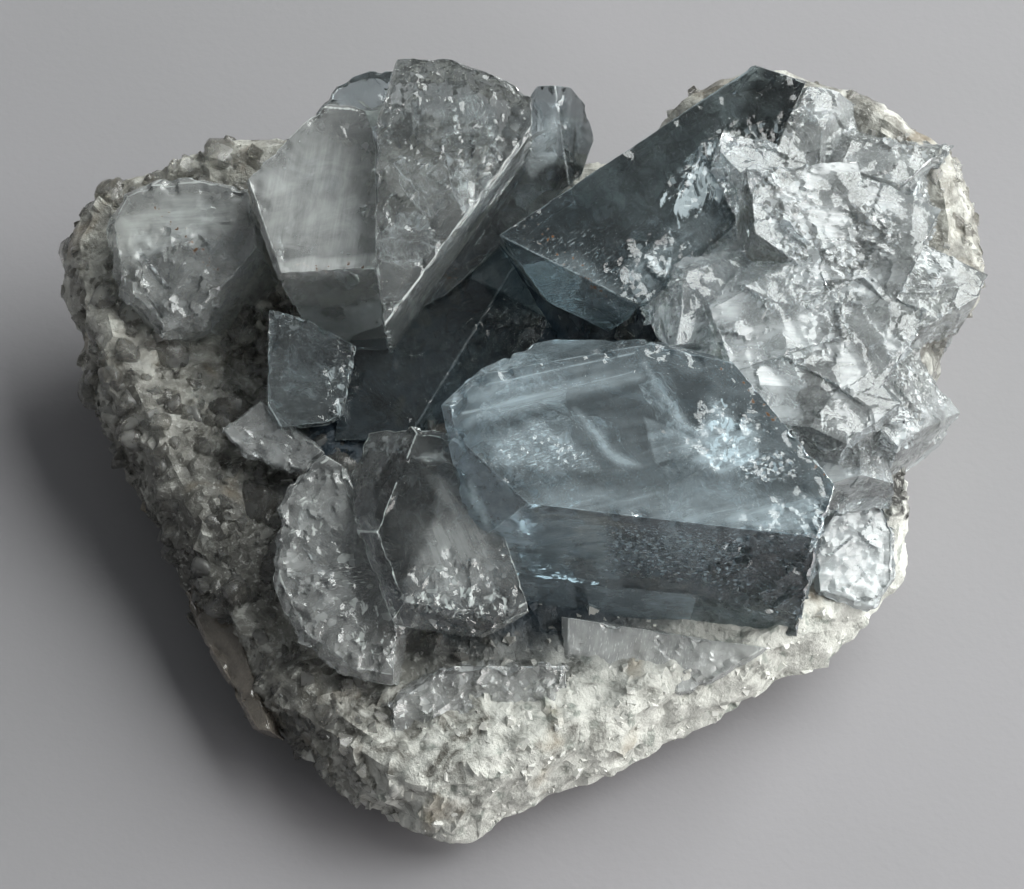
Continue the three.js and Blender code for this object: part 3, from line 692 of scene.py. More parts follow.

# %% Broken parts and edges of each crystal
# centre, reach, size of the hollows, their depth, and how much the surface sparkles, by facets in the bump
# and by painted glints
BREAKS = {
    "main_crystal": [
        ((10.6, 0.8, 0.5), 4.2, 2.4, 0.4, 0.3), ((18, -12, -8), 10.5, 2.6, 0.9, 0.4),
        ((17, -10, 0), 4.5, 2.2, 0.5, 0.4),
    ],
    "dark_crystal": [((12, 4, 0), 5.5, 2.0, 0.8, 0.7), ((3, -9, 0), 5.5, 3.0, 0.5, 0.5)],
    "back_crystal": [((0, 9, 0), 9.5, 1.9, 0.45, 0.22), ((-5, 0, 0), 5.5, 2.2, 0.4, 0.12)],
    "clear_crystal": [((2, -9, 0), 6.0, 1.9, 0.8, 0.5), ((-7, 6, 0), 4.0, 1.8, 0.5, 0.3)],
    "rounded_crystal": [((-2, 5, 0), 6.5, 2.6, 0.8, 0.15), ((2, -5, 0), 7.5, 2.2, 0.8, 0.35)],
    "window_crystal": [((4.5, -2, 0), 3.4, 1.2, 0.6, 0.6), ((-3.5, 5, 0), 3.0, 1.2, 0.6, 0.4)],
    "left_crystal": [((-1, -4, 0), 7.0, 2.8, 0.8, 0.2), ((5, 3, 0), 4.0, 2.2, 0.5, 0.1)],
    "right_crystal": [((2, 0, 0), 7.0, 3.0, 0.7, 0.25)],
    "front_crystal": [((0, 0, 0), 14.0, 2.6, 0.9, 0.35)],
    "pale_blade": [((5, -4, 0), 7.0, 1.8, 0.6, 0.3), ((-7, -3, 0), 4.0, 1.6, 0.6, 0.3)],
    "wedge_crystal": [((0, 0, 0), 6.0, 2.2, 0.6, 0.15)],
    "milky_crystal": [((6, 6, 0), 3.0, 1.6, 0.4, 0.2), ((-4, -9, 0), 3.0, 1.2, 0.4, 0.2)],
    "smoky_crystal": [((-3, 8, 0), 4.0, 1.6, 0.8, 0.5)],
}
# depth of the chips along the edges, in mm, and the strength of the painted highlight along the edges
EDGES = {
    "main_crystal": (0.35, 0.3), "dark_crystal": (0.12, 0.35), "pocket_crystal": (0.15, 0.25),
    "milky_crystal": (0.3, 0.9), "back_crystal": (0.35, 0.6), "window_crystal": (0.5, 0.9),
    "far_back_crystal": (0.2, 0.35), "far_left_crystal": (0.3, 0.3), "clear_crystal": (0.35, 0.95),
    "rounded_crystal": (0.4, 0.7), "left_crystal": (0.4, 0.6),
}
PLAIN_EDGE = (0.4, 0.5)


def break_share(breaks, place):
    """How much of a place belongs to a broken part, and that part's cell, depth and sparkle."""
    best = (0.0, 1.0, 0.0, 0.0)
    for centre, reach, cell, depth, sparkle in breaks:
        ragged = 0.35 * noise.noise(place * 0.7)
        share = 1 - step_between(0.75, 1.0, (place - Vector(centre)).length / reach + ragged)
        if share > best[0]:
            best = (share, cell, depth, sparkle)
    return best


# %% [markdown]
# ## Crystal finish
# The body is plain clear crystal with a tint that deepens with its thickness. The shader's own
# colour would tint thin and thick parts alike, so the tint is a volume that absorbs light. Fine
# bands run along the crystal where its growth paused. Clouded zones let less light through, and rust
# sits in the seams. Edges get a painted highlight, and splintered facets and glitter zones get
# painted glints.

# %% Nodes for zones
def own_noise(tree, own, stretch, detail=4.0, roughness=0.6, distortion=0.0):
    """Noise in the crystal's own directions: lumps per mm along, across and into the face."""
    return lump_nodes(tree, own, 1.0, stretch, 0.0, detail, roughness, distortion)


def along_side(tree, own, side, view=TOP):
    """How far out a place lies along a side's direction, in mm."""
    way = (side.x, side.y, 0) if view == TOP else (side.x, 0, -side.y)
    return put(tree, "ShaderNodeVectorMath", {0: own, 1: way}, operation="DOT_PRODUCT").outputs["Value"]


def zone_nodes(tree, own, view, corners, soft):
    """1 inside an outline with straight sides, 0 outside it, with a soft edge of the given width."""
    middle = [sum(c[k] for c in corners) / len(corners) for k in (0, 1)]
    nearest = None
    for i, (x0, y0) in enumerate(corners):
        x1, y1 = corners[(i + 1) % len(corners)]
        side = Vector((y1 - y0, x0 - x1)).normalized()
        if side.dot(Vector((middle[0] - x0, middle[1] - y0))) < 0:
            side.negate()
        depth = math_nodes(tree, "SUBTRACT", along_side(tree, own, side, view), side.dot(Vector((x0, y0))))
        nearest = depth if nearest is None else math_nodes(tree, "MINIMUM", nearest, depth)
    return ramp_nodes(tree, nearest, -soft, soft)


def front_face(tree, own, corners):
    """1 on the face below the top face's lowest edge."""
    following = corners[1:] + corners[:1]
    (x0, y0), (x1, y1) = min(zip(corners, following), key=lambda ends: ends[0][1] + ends[1][1])
    side = Vector((y1 - y0, x0 - x1)).normalized()
    if side.y > 0:
        side.negate()
    edge = side.dot(Vector((x0, y0)))
    return ramp_nodes(tree, along_side(tree, own, side), edge + 0.05, edge + 0.25)


# %% Small facets of a splintered surface
def facet_nodes(tree, own, cell_mm):
    """Height of small facets, each with its own slant, and a value from 0 to 1 for each facet, which picks
    the facets that get a painted glint.
    """
    cells = put(tree, "ShaderNodeTexVoronoi", {"Scale": 1 / cell_mm, "Vector": own}).outputs

    def vector_nodes(operation, first, second):
        return put(tree, "ShaderNodeVectorMath", {0: first, 1: second}, operation=operation).outputs

    offset = vector_nodes("SUBTRACT", own, cells["Position"])[0]
    slant = vector_nodes("SUBTRACT", cells["Color"], (0.5, 0.5, 0.5))[0]
    parts = put(tree, "ShaderNodeSeparateColor", {"Color": cells["Color"]})
    return vector_nodes("DOT_PRODUCT", offset, slant)["Value"], parts.outputs["Red"]


# %% Finishes
# tint and its density, clear and milk colours, haze and bands as shares of milk everywhere,
# roughness, size of the small facets in mm, and material slot
Finish = namedtuple("Finish", "tint density clear milk haze rough bands facet slot")
PALE_BLUE = Finish(
    (0.41, 0.56, 0.63), 30, (0.74, 0.86, 0.92), (0.52, 0.65, 0.72),
    0.14, 0.05, 0.06, 0.32, "pale_blue_crystal",
)
PALE = Finish(
    (0.66, 0.74, 0.77), 14, (0.92, 0.96, 0.98), (0.78, 0.84, 0.86),
    0.35, 0.05, 0.03, 0.8, "pale_blue_crystal",
)
WINDOW = Finish(
    (0.45, 0.56, 0.60), 40, (0.76, 0.84, 0.87), (0.60, 0.68, 0.70),
    0.12, 0.03, 0.04, 0.5, "pale_blue_crystal",
)
SLATE = Finish(
    (0.27, 0.41, 0.48), 44, (0.52, 0.62, 0.66), (0.60, 0.69, 0.73),
    0.06, 0.04, 0.05, 0.5, "slate_crystal",
)
CLEAR = Finish(
    (0.60, 0.69, 0.70), 16, (0.94, 0.97, 0.97), (0.66, 0.72, 0.71),
    0.12, 0.04, 0.04, 0.7, "clear_crystal",
)
HAZY = Finish(
    (0.62, 0.69, 0.69), 14, (0.95, 0.97, 0.97), (0.74, 0.78, 0.76),
    0.30, 0.05, 0.04, 0.8, "clear_crystal",
)
GREY = Finish(
    (0.42, 0.50, 0.53), 60, (0.70, 0.76, 0.78), (0.60, 0.66, 0.68),
    0.05, 0.04, 0.04, 0.6, "clear_crystal",
)
MILKY = Finish(
    (0.66, 0.72, 0.73), 14, (0.94, 0.96, 0.96), (0.80, 0.83, 0.82),
    0.30, 0.08, 0.04, 0.6, "milky_crystal",
)
BROKEN = Finish(
    (0.62, 0.70, 0.73), 16, (0.93, 0.98, 1.0), (0.79, 0.84, 0.86),
    0.20, 0.03, 0.04, 0.5, "broken_crystal",
)
SMOKY = Finish(
    (0.42, 0.36, 0.29), 90, (0.60, 0.54, 0.47), (0.22, 0.19, 0.165),
    0.35, 0.08, 0.1, 0.6, "smoky_crystal",
)
FINISHES = {
    "main_crystal": PALE_BLUE, "dark_crystal": SLATE, "pocket_crystal": SLATE, "back_crystal": CLEAR,
    "milky_crystal": MILKY, "left_crystal": HAZY, "window_crystal": WINDOW,
    "far_back_crystal": GREY, "clear_crystal": CLEAR, "rounded_crystal": HAZY,
    "far_left_crystal": GREY, "right_crystal": PALE, "smoky_crystal": SMOKY,
    "wedge_crystal": MILKY, "front_crystal": MILKY, "pale_blade": MILKY, "broken_crystal": BROKEN,
}
IOR = 1.62
DARKEST = 0.3
RUST_COLOUR = (0.13, 0.065, 0.03)
TORN_GRAIN = {"dark_crystal": (0.7, 0.35, 0.5)}
USUAL_TORN_GRAIN = (1.2, 0.9, 0.8)
# how far the growth bands are turned from the top face's own right, in degrees
BAND_TURN = {
    "main_crystal": 14, "dark_crystal": 40, "back_crystal": 55, "pale_blade": 80,
    "clear_crystal": -65, "pocket_crystal": 30, "milky_crystal": 80,
}
print(len(FINISHES), "crystals in", len({look.slot for look in FINISHES.values()}), "slots")


# %% Clouds and milk
def layer(tree, title):
    return put(tree, "ShaderNodeAttribute", attribute_name=title).outputs["Fac"]


def clouded_share(tree, name, own):
    """How clouded each place is: the soft zones, and the crisp ones as straight-sided outlines."""
    clouded = layer(tree, "milk")
    for _, view, corners, soft, strength in ZONES.get(name, []):
        if soft < CRISP:
            inside = zone_nodes(tree, own, view, corners, soft)
            if view == FRONT:
                front = front_face(tree, own, CRYSTALS[name]["corners"])
                inside = math_nodes(tree, "MULTIPLY", inside, front)
            inside = math_nodes(tree, "MULTIPLY", inside, strength)
            clouded = math_nodes(tree, "MAXIMUM", clouded, inside)
    return clouded


def milk_share(tree, name, look, own, facet):
    """How much of the light is turned back: clouds, growth bands, haze and splinters, and painted highlights
    on edges and facets.
    """
    turn = {"Vector": own, "Angle": math.radians(-BAND_TURN.get(name, 0))}
    along = put(tree, "ShaderNodeVectorRotate", turn, rotation_type="Z_AXIS").outputs["Vector"]
    wisps = own_noise(tree, own, (0.22, 0.3, 0.3), 4, 0.62, 0.8)
    streaks = own_noise(tree, along, (0.07, 1.1, 0.8), 3, 0.6, 0.15)
    threads = own_noise(tree, along, (0.5, 4.0, 3.0), 2, 0.6, 0.3)
    spread = total(tree, (0.9, streaks), (0.5, threads), (0.5, wisps), (-0.45, 1.0))
    clouds = math_nodes(tree, "MULTIPLY", clouded_share(tree, name, own), spread)
    lines = math_nodes(tree, "MULTIPLY", ramp_nodes(tree, streaks, 0.52, 0.75), look.bands)
    fog = math_nodes(tree, "MULTIPLY", ramp_nodes(tree, wisps, 0.3, 0.8, 0.6, 1.5), look.haze)
    # Painted highlight: a thin white line along the crystal's edges, where they catch the light.
    near_edge = total(tree, (1.0, layer(tree, "edge")), (0.9, threads))
    painted_edge_highlight = ramp_nodes(tree, near_edge, 1.15, 1.45, 0, EDGES.get(name, PLAIN_EDGE)[1])
    # Painted glints: the brightest of the small facets are turned milk-white where the surface sparkles.
    glint_facets = ramp_nodes(tree, facet, 0.86, 0.92, 0, 0.7)
    painted_glints = math_nodes(tree, "MULTIPLY", glint_facets, layer(tree, "sparkle"))
    milky = total(tree, (1.1, clouds), (1.0, lines), (1.0, fog), (1.0, painted_edge_highlight), (1.0, painted_glints))
    kinds = {kind for kind, *_ in ZONES.get(name, [])}
    if TORN in kinds:
        # Torn zones: white flakes of the splintered crystal, partly its own whiteness and partly painted
        # glints.
        torn = layer(tree, "torn")
        grain = own_noise(tree, own, TORN_GRAIN.get(name, USUAL_TORN_GRAIN), 4, 0.65, 0.6)
        flakes_and_glints = ramp_nodes(tree, total(tree, (1.0, grain), (0.35, torn)), 0.80, 0.86, 0, 0.8)
        shown = math_nodes(tree, "MULTIPLY", flakes_and_glints, ramp_nodes(tree, torn, 0, 0.2))
        milky = math_nodes(tree, "ADD", milky, shown)
    # Painted glints: glitter zones get small white dashes along the growth bands.
    if GLITTER in kinds:
        painted_glitter = ramp_nodes(tree, own_noise(tree, along, (1.3, 6.5, 6.0), 2, 0.5, 0.2), 0.60, 0.68, 0, 0.8)
        shown = math_nodes(tree, "MULTIPLY", painted_glitter, layer(tree, "glitter"))
        milky = math_nodes(tree, "ADD", milky, shown)
    return math_nodes(tree, "MINIMUM", milky, 1.0)


# %% Rust and the whole crystal material
def rust_share(tree, number):
    """Rust in small specks, all over a little and in the rusty zones more."""
    rusty = math_nodes(tree, "ADD", layer(tree, "rust"), 0.08)
    specks = ramp_nodes(tree, noise_nodes(tree, 0.6, 2, 0.6, 0, number + 7), 0.60, 0.68)
    return ramp_nodes(tree, math_nodes(tree, "MULTIPLY", rusty, specks), 0.12, 0.5)


def crystal_material(name, look, number):
    material, tree, shader = new_material(name)
    own = put(tree, "ShaderNodeAttribute", attribute_name="own").outputs["Vector"]
    height, facet = facet_nodes(tree, own, look.facet)
    milky = milk_share(tree, name, look, own, facet)
    rust = rust_share(tree, number)
    # Dark zones: partly a darker crystal, and on faces turned to the camera painted shade.
    body = mix_colours(tree, layer(tree, "dark"), look.clear, tuple(DARKEST * c for c in look.clear))
    body = mix_colours(tree, milky, body, look.milk)
    through = total(tree, (-0.85, milky), (-1.0, rust), (1.0, 1.0))
    through.node.use_clamp = True
    feed(tree, shader, {
        "Base Color": mix_colours(tree, rust, body, RUST_COLOUR), "Transmission Weight": through,
        "Roughness": look.rough, "IOR": IOR,
    })
    splintered = math_nodes(tree, "ADD", layer(tree, "sparkle"), 0.012)
    bump_nodes(tree, shader, math_nodes(tree, "MULTIPLY", height, splintered), 0.8, 1.0)
    absorb = put(tree, "ShaderNodeVolumeAbsorption", {"Color": look.tint, "Density": look.density})
    feed(tree, tree.nodes["Material Output"], {"Volume": absorb.outputs["Volume"]})
    return material


def finish(piece, name, number):
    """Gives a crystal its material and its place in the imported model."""
    look = FINISHES[name]
    hand_over(piece, crystal_material(name, look, number), name)


# %% [markdown]
# ## The form of the crust
# The crust is a bowl with a flat underside. A dented ball would look alike, but its outline could
# not be set. So rings at several levels follow one outline. Their places come before the crystals,
# whose roots at the back end inside the outer wall.

# %% Crust form
# x, y, height of the widest place and height of the rim, in mm, at stations round the outline
STATIONS = [
    (-47, 19, 16, 21), (-46, 12, 12, 20), (-43, 4, 9, 18), (-39, -4, 7, 16), (-34, -13, 5, 14),
    (-29, -22, 4, 12), (-24, -29, 4, 12), (-18, -35, 4, 13), (-11, -39, 4, 13), (-3, -39, 4, 14),
    (5, -35, 5, 14), (17, -29, 6, 14), (27, -24, 7, 14), (35, -18, 8, 14), (39, -12, 9, 15),
    (38, -5, 15, 22), (41, 2, 19, 26), (46, 12, 21, 28), (47, 19, 22, 30), (44, 26, 24, 32),
    (36, 31, 25, 33), (28, 34, 25, 33), (19, 34, 24, 31), (11, 29, 19, 25), (0, 30, 18, 24),
    (-12, 32, 18, 25), (-24, 31, 18, 26), (-36, 29, 18, 25), (-44, 26, 18, 23),
]
FLOOR_HEIGHT = 14
# a ring's reach as a share of the outline, and its height as shares of the widest place's, of the
# rim's and of the floor's
LEVELS = [
    (0.3, 0, 0, 0), (0.55, 0, 0, 0), (0.66, 0, 0, 0), (0.76, 0.15, 0, 0), (0.86, 0.4, 0, 0),
    (0.94, 0.7, 0, 0), (1, 1, 0, 0), (0.99, 0.6, 0.4, 0), (0.96, 0.15, 0.85, 0), (0.91, 0, 1, 0),
    (0.84, 0, 0.9, 0.1), (0.75, 0, 0.6, 0.4), (0.64, 0, 0.3, 0.7), (0.5, 0, 0.1, 0.9),
    (0.36, 0, 0, 1), (0.2, 0, 0, 1),
]
CRUST_STEPS = 116


def outline_at(share):
    """Place, widest height and rim height at a share of the way round, on a smooth curve."""
    whole = math.floor(share * len(STATIONS))
    t = share * len(STATIONS) - whole
    a, b, c, d = (Vector(STATIONS[(whole + k) % len(STATIONS)]) for k in (-1, 0, 1, 2))
    return 0.5 * (2 * b + (c - a) * t + (2 * a - 5 * b + 4 * c - d) * t**2 + (3 * b - a - 3 * c + d) * t**3)


def wall_reach(z, widest, rim):
    """How far out the outer wall is at a height, as a share of the outline, and far off above it."""
    outer = [level for level in LEVELS if level[0] > 0.6 and level[3] == 0]
    knots = [(up * widest + top * rim, reach) for reach, up, top, _ in outer]
    for (low, start), (high, end) in zip(knots, knots[1:]):
        if low <= z <= high:
            return start + (end - start) * (z - low) / max(high - low, 1e-6)
    return knots[0][1] if z < knots[0][0] else 9.0


OUTLINE = [outline_at(i / CRUST_STEPS) for i in range(CRUST_STEPS)]
ROOT_COVER = 1.4
BACK_FROM = 8
ROOT_LEAN = 1.5
print("crust outline of", len(OUTLINE), "places")


def root_inside(place):
    """A crystal's root at the back, pulled under the crust's outer wall."""
    if place.y < BACK_FROM:
        return place
    way = Vector((place.x, place.y)).normalized()
    x, y, widest, rim = max(OUTLINE, key=lambda o: way.dot(Vector(o[:2]).normalized()))
    radius, distance = math.hypot(x, y), math.hypot(place.x, place.y)
    above = max(place.z - rim + 0.5, 0)
    limit = wall_reach(place.z - above, widest, rim - 0.5) * radius - ROOT_COVER + ROOT_LEAN * above
    if distance <= limit:
        return place
    return Vector((place.x * limit / distance, place.y * limit / distance, place.z))


# %% Shape of a crystal's skin
FINE = 0.45
EDGE_ROUND = 0.12
CHIP_REACH = 1.3
# how far below its top face a crystal is finely divided, in mm
SHOWN_DEPTH = 9
MAIN_SHOWN_DEPTH = 20


def zone_shares(name, own):
    """The strength of each kind of soft zone at a place on a crystal."""
    bent = own + 0.45 * drift(own * 0.5)
    shares = dict.fromkeys(ZONE_KINDS, 0.0)
    for kind, view, corners, soft, strength in ZONES.get(name, []):
        if soft >= CRISP and (view == TOP or own.z < -0.3):
            depth = inside_outline(corners, bent.x, bent.y if view == TOP else -bent.z)
            shares[kind] = max(shares[kind], strength * step_between(-soft, soft, depth))
    return shares


def grown_skin(place, seed):
    """Low growth steps across a face and a very gentle waviness."""
    across = place.y + 0.8 * place.z
    wave = noise.noise(place * 0.15 + Vector((seed, 0, 0)))
    broad = math.floor(across / 1.9 + 1.2 * wave)
    fine = math.floor(across / 0.6 + 2.0 * wave)
    steps = noise.noise(Vector((broad * 7.3, seed, 0.5)))
    steps += 0.4 * noise.noise(Vector((fine * 3.1, 0.3, seed)))
    return 0.07 * steps + 0.10 * wave


def chips(own, to_edge, seed):
    """How much has splintered off near an edge, as a share of the deepest chips."""
    where = step_between(0.05, 0.4, noise.noise(own * 0.6 + Vector((seed, 3.1, 0))))
    near = step_between(CHIP_REACH, 0.1, to_edge)
    return near * (0.2 + where * (1 - shells(own, 1.3, seed + 2)))


def new_layers(bm):
    """A layer for a place in the crystal's own directions, and one for each share."""
    own_layer = bm.verts.layers.float_vector.new("own")
    return own_layer, {title: bm.verts.layers.float.new(title) for title in (*ZONE_KINDS, "edge")}


# %% Make the crystals
def crystal_skin(name, spec, number):
    """A crystal's body with its growth steps, broken parts and chips."""
    planes = crystal_planes(**spec)
    centre = Vector(spec["at"])
    bm = body_inside(planes, centre)
    soften_edges(bm, EDGE_ROUND)
    turn = Matrix(face_frame(spec["tilt"], spec["facing"]))
    out = turn[2]
    shown = MAIN_SHOWN_DEPTH if name == "main_crystal" else SHOWN_DEPTH

    def is_shown(face):
        faces_camera = face.normal.dot(to_camera) > 0
        return faces_camera and (face.calc_center_median() - centre).dot(out) > -shown

    divide(bm, FINE, is_shown)
    bands = Matrix.Rotation(math.radians(-BAND_TURN.get(name, 0)), 3, "Z")
    own_layer, layers = new_layers(bm)

    def skin_height(vertex):
        own = turn @ (vertex.co - centre)
        share, cell, depth, sparkle = break_share(BREAKS.get(name, []), own)
        to_edge = sorted((point - vertex.co).dot(away) for point, away in planes)[1]
        height = grown_skin(bands @ own, number) * (1 - share)
        if to_edge < CHIP_REACH:
            height -= EDGES.get(name, PLAIN_EDGE)[0] * chips(own, to_edge, number)
        if share > 0:
            ragged = shells(own, cell, number) + 0.5 * shells(own, cell * 0.42, number + 4)
            height += share * depth * (ragged - 0.12 * cell)
        values = zone_shares(name, own)
        values[SPARKLE] = max(values[SPARKLE], sparkle * share)
        values["edge"] = (1 - step_between(0.02, 0.25, to_edge)) * (1 - share)
        vertex[own_layer] = own
        for title, value in values.items():
            vertex[layers[title]] = value
        return height

    displace(bm, skin_height)
    for vertex in bm.verts:
        vertex.co = root_inside(vertex.co)
    return bm


for number, (name, spec) in enumerate(CRYSTALS.items()):
    finish(to_object(crystal_skin(name, spec, number), name + "_fine"), name, number)

# %% [markdown]
# ## The broken crystal
# At the right a large crystal is broken all over. Cutting it with planes would leave it too neat,
# and its packed form has the large breaks already. So a merged copy of that is divided and gets
# shells in three sizes, deeper where noise makes it rough.

# %% Broken crystal
broken = bmesh.new()
broken.from_mesh(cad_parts["broken_crystal"].data)
bmesh.ops.remove_doubles(broken, verts=broken.verts[:], dist=1e-7)
bmesh.ops.transform(broken, matrix=from_metres, verts=broken.verts[:])
bmesh.ops.recalc_face_normals(broken, faces=broken.faces[:])
upper_faces = [face for face in broken.faces if face.normal.dot(to_camera) > 0.4]
INNER_SPOTS = [(face.calc_center_median(), face.normal.copy()) for face in upper_faces]
divide(broken, 0.45, lambda f: f.normal.dot(to_camera) > -0.2)
own_layer, layers = new_layers(broken)


def broken_height(vertex):
    """The height of the breaks at a place, whose shares are kept for the material."""
    place = vertex.co
    rough_part = step_between(-0.05, 0.12, noise.noise(place * 0.14 + Vector((4, 2, 9))))
    height = 0.35 * shells(place, 5.0, 3) + (0.24 + 0.4 * rough_part) * shells(place, 2.3, 8)
    height += (0.04 + 0.5 * rough_part) * shells(place, 1.0, 5)
    vertex[own_layer] = place
    # Sparkle: more facets in the bump and more painted glints where the surface is rough.
    vertex[layers[SPARKLE]] = 0.05 + 0.55 * rough_part
    vertex[layers[MILK]] = 0.35 * step_between(-0.1, 0.4, noise.noise(place * 0.3 + Vector((1, 7, 3))))
    return height


displace(broken, broken_height)
finish(to_object(broken, "broken_crystal_fine", 24), "broken_crystal", len(CRYSTALS) + 1)

# %% [markdown]
# ## The crust
# Under the crystals is a crust of sugary grains, part clear grey and part chalky white. A Displace
# modifier could roughen it, but the colours have to follow the same lumps. So its rings are joined
# into a closed bowl, hollows in two sizes move each place, and it keeps how chalky, how deep in the
# pocket and how low between its lumps it is, for the material to read. The pocket and the low places
# get painted shade, a dark colour, and the grey is painted lighter or darker by place for how the
# light falls on it.

# %% Crust body
def crust_body():
    bm = bmesh.new()
    rings = []
    for reach, wide, rim, deep in LEVELS:
        ring = bmesh.ops.create_circle(bm, segments=CRUST_STEPS, radius=1)["verts"]
        for vertex, (x, y, widest, rim_height) in zip(ring, OUTLINE):
            vertex.co = (x * reach, y * reach, wide * widest + rim * rim_height + deep * FLOOR_HEIGHT)
        rings.append(list(dict.fromkeys(edge for vertex in ring for edge in vertex.link_edges)))
    for lower, upper in zip(rings, rings[1:]):
        bmesh.ops.bridge_loops(bm, edges=lower + upper)
    bmesh.ops.contextual_create(bm, geom=rings[0])
    bmesh.ops.contextual_create(bm, geom=rings[-1])
    bmesh.ops.recalc_face_normals(bm, faces=bm.faces[:])
    return bm


def chalkiness(place):
    """Where the crust is white and chalky: the lower right edge and the rim at the upper right."""
    front = step_between(-20, 8, place.x - 0.9 * (place.y + 28))
    back = 0.15 * step_between(16, 30, place.x)
    return max(front * step_between(20, 12, place.z), back)


# %% Crust material
GREY_CRUST = (0.12, 0.115, 0.10), (0.42, 0.415, 0.38)
CHALK = (0.52, 0.525, 0.485), (0.77, 0.77, 0.72)
FLECK_COLOUR = (0.23, 0.26, 0.23)
# Painted shade: the dark colours of the pocket and of the low places between the lumps.
POCKET_SHADE_COLOUR = (0.035, 0.05, 0.065)
HOLLOW_SHADE_COLOUR = (0.07, 0.07, 0.065)
SUGAR_COLOUR = (0.70, 0.70, 0.66)
STAIN_COLOUR = (0.25, 0.18, 0.10)


def crust_shares(tree):
    """How chalky a place is, and how deep in the pocket and how low between its lumps, which both get
    painted shade.
    """
    zones = put(tree, "ShaderNodeVertexColor", layer_name="zones")
    parts = put(tree, "ShaderNodeSeparateColor", {"Color": zones.outputs["Color"]})
    return [parts.outputs[channel] for channel in ("Red", "Green", "Blue")]


def crust_material():
    material, tree, shader = new_material("crust")
    chalky, in_pocket, hollow_shade = crust_shares(tree)
    lumps = ramp_nodes(tree, noise_nodes(tree, 3.0, 5, 0.65, 0.8), 0.35, 0.65)
    fine = noise_nodes(tree, 0.7, 4, 0.7, 0.2, 5)
    # Painted light and shade: the grey crust is made lighter at the back and along the front edge and darker
    # at the right, for how the window's light falls on it.
    upper = ramp_nodes(tree, axis_nodes(tree, "Y"), -0.006, 0.014, 0.6, 2.0)
    right = ramp_nodes(tree, axis_nodes(tree, "X"), 0.010, 0.035, 0, -0.5)
    lower = ramp_nodes(tree, axis_nodes(tree, "Y"), -0.024, -0.012, 0.7, 0)
    painted_light_and_shade = total(tree, (1.0, upper), (1.0, right), (1.0, lower))
    grey = scale_colour(tree, mix_colours(tree, lumps, *GREY_CRUST), painted_light_and_shade)
    flecks = ramp_nodes(tree, noise_nodes(tree, 2.2, 3, 0.6, 0.4, 11), 0.57, 0.65, 0, 0.75)
    chalk = mix_colours(tree, flecks, mix_colours(tree, lumps, *CHALK), FLECK_COLOUR)
    ragged = math_nodes(tree, "ADD", chalky, math_nodes(tree, "SUBTRACT", lumps, 0.5))
    share = ramp_nodes(tree, ragged, 0.25, 0.75)
    outside = math_nodes(tree, "SUBTRACT", 1.0, in_pocket)
    sugar = math_nodes(tree, "MULTIPLY", ramp_nodes(tree, fine, 0.56, 0.66, 0, 0.6), outside)
    stains = ramp_nodes(tree, noise_nodes(tree, 6, 3, 0.5, 0.3, 21), 0.60, 0.72)
    colour = mix_colours(tree, share, grey, chalk)
    # Painted shade: the pocket and the low places between the lumps are coloured dark.
    colour = mix_colours(tree, in_pocket, colour, POCKET_SHADE_COLOUR)
    colour = mix_colours(tree, hollow_shade, colour, HOLLOW_SHADE_COLOUR)
    colour = mix_colours(tree, sugar, colour, SUGAR_COLOUR)
    colour = mix_colours(tree, math_nodes(tree, "MULTIPLY", stains, 0.45), colour, STAIN_COLOUR)
    feed(tree, shader, {"Base Color": colour, "Roughness": ramp_nodes(tree, share, 0, 1, 0.22, 0.8)})
    bump_nodes(tree, shader, fine, 0.9, 0.35)
    return material


# %% Make the crust
CRUST_FINE = 0.85

crust = crust_body()
divide(crust, CRUST_FINE, lambda f: f.normal.z > -0.3, 2.0)
zones = crust.verts.layers.float_color.new("zones")


def crust_height(vertex):
    """The height of the grain at a place, whose shares are kept for the material."""
    place = vertex.co
    chalk = chalkiness(place)
    small = 0.8 * shells(place, 3.6, 1) + 0.8 * shells(place, 1.6, 2)
    height = noise.fractal(place / 7, 1.0, 2.0, 3) + 0.35 * chalk * noise.fractal(place / 1.6, 0.8, 2.0, 3)
    height += (1 - 0.6 * chalk) * (1 - 0.45 * step_between(14, 20, place.z)) * small
    # Painted shade: how deep a place lies in the pocket among the crystals, where its colour is made dark.
    inner = step_between(30, 20, math.hypot(place.x, place.y)) * step_between(24, 18, place.z)
    # Painted shade: the low places between the shells get a dark colour.
    hollow_shade = (0.75 - 0.4 * chalk) * step_between(0.1, -0.8, small)
    vertex[zones] = (chalk, inner if place.z > 10 else 0.0, hollow_shade, 1.0)
    return height * step_between(0.2, 2.0, place.z)


displace(crust, crust_height)
for vertex in crust.verts:
    vertex.co.z = max(vertex.co.z, 0.0)
crust_piece = to_object(crust, "matrix_fine", 30)
hand_over(crust_piece, crust_material(), "matrix")

# %% [markdown]
# ## Grains
# The crust glistens because small clear crystals stick out of it everywhere. They are blocks with
# broken corners, in many sizes, half sunk in the crust. At the left some are larger and worn round.
# A particle system could scatter them, but thousands of objects are slow to handle. So copies of a
# few dozen shapes are turned, scaled and joined into one mesh.

# %% Grain shapes
random_numbers = random.Random(7)


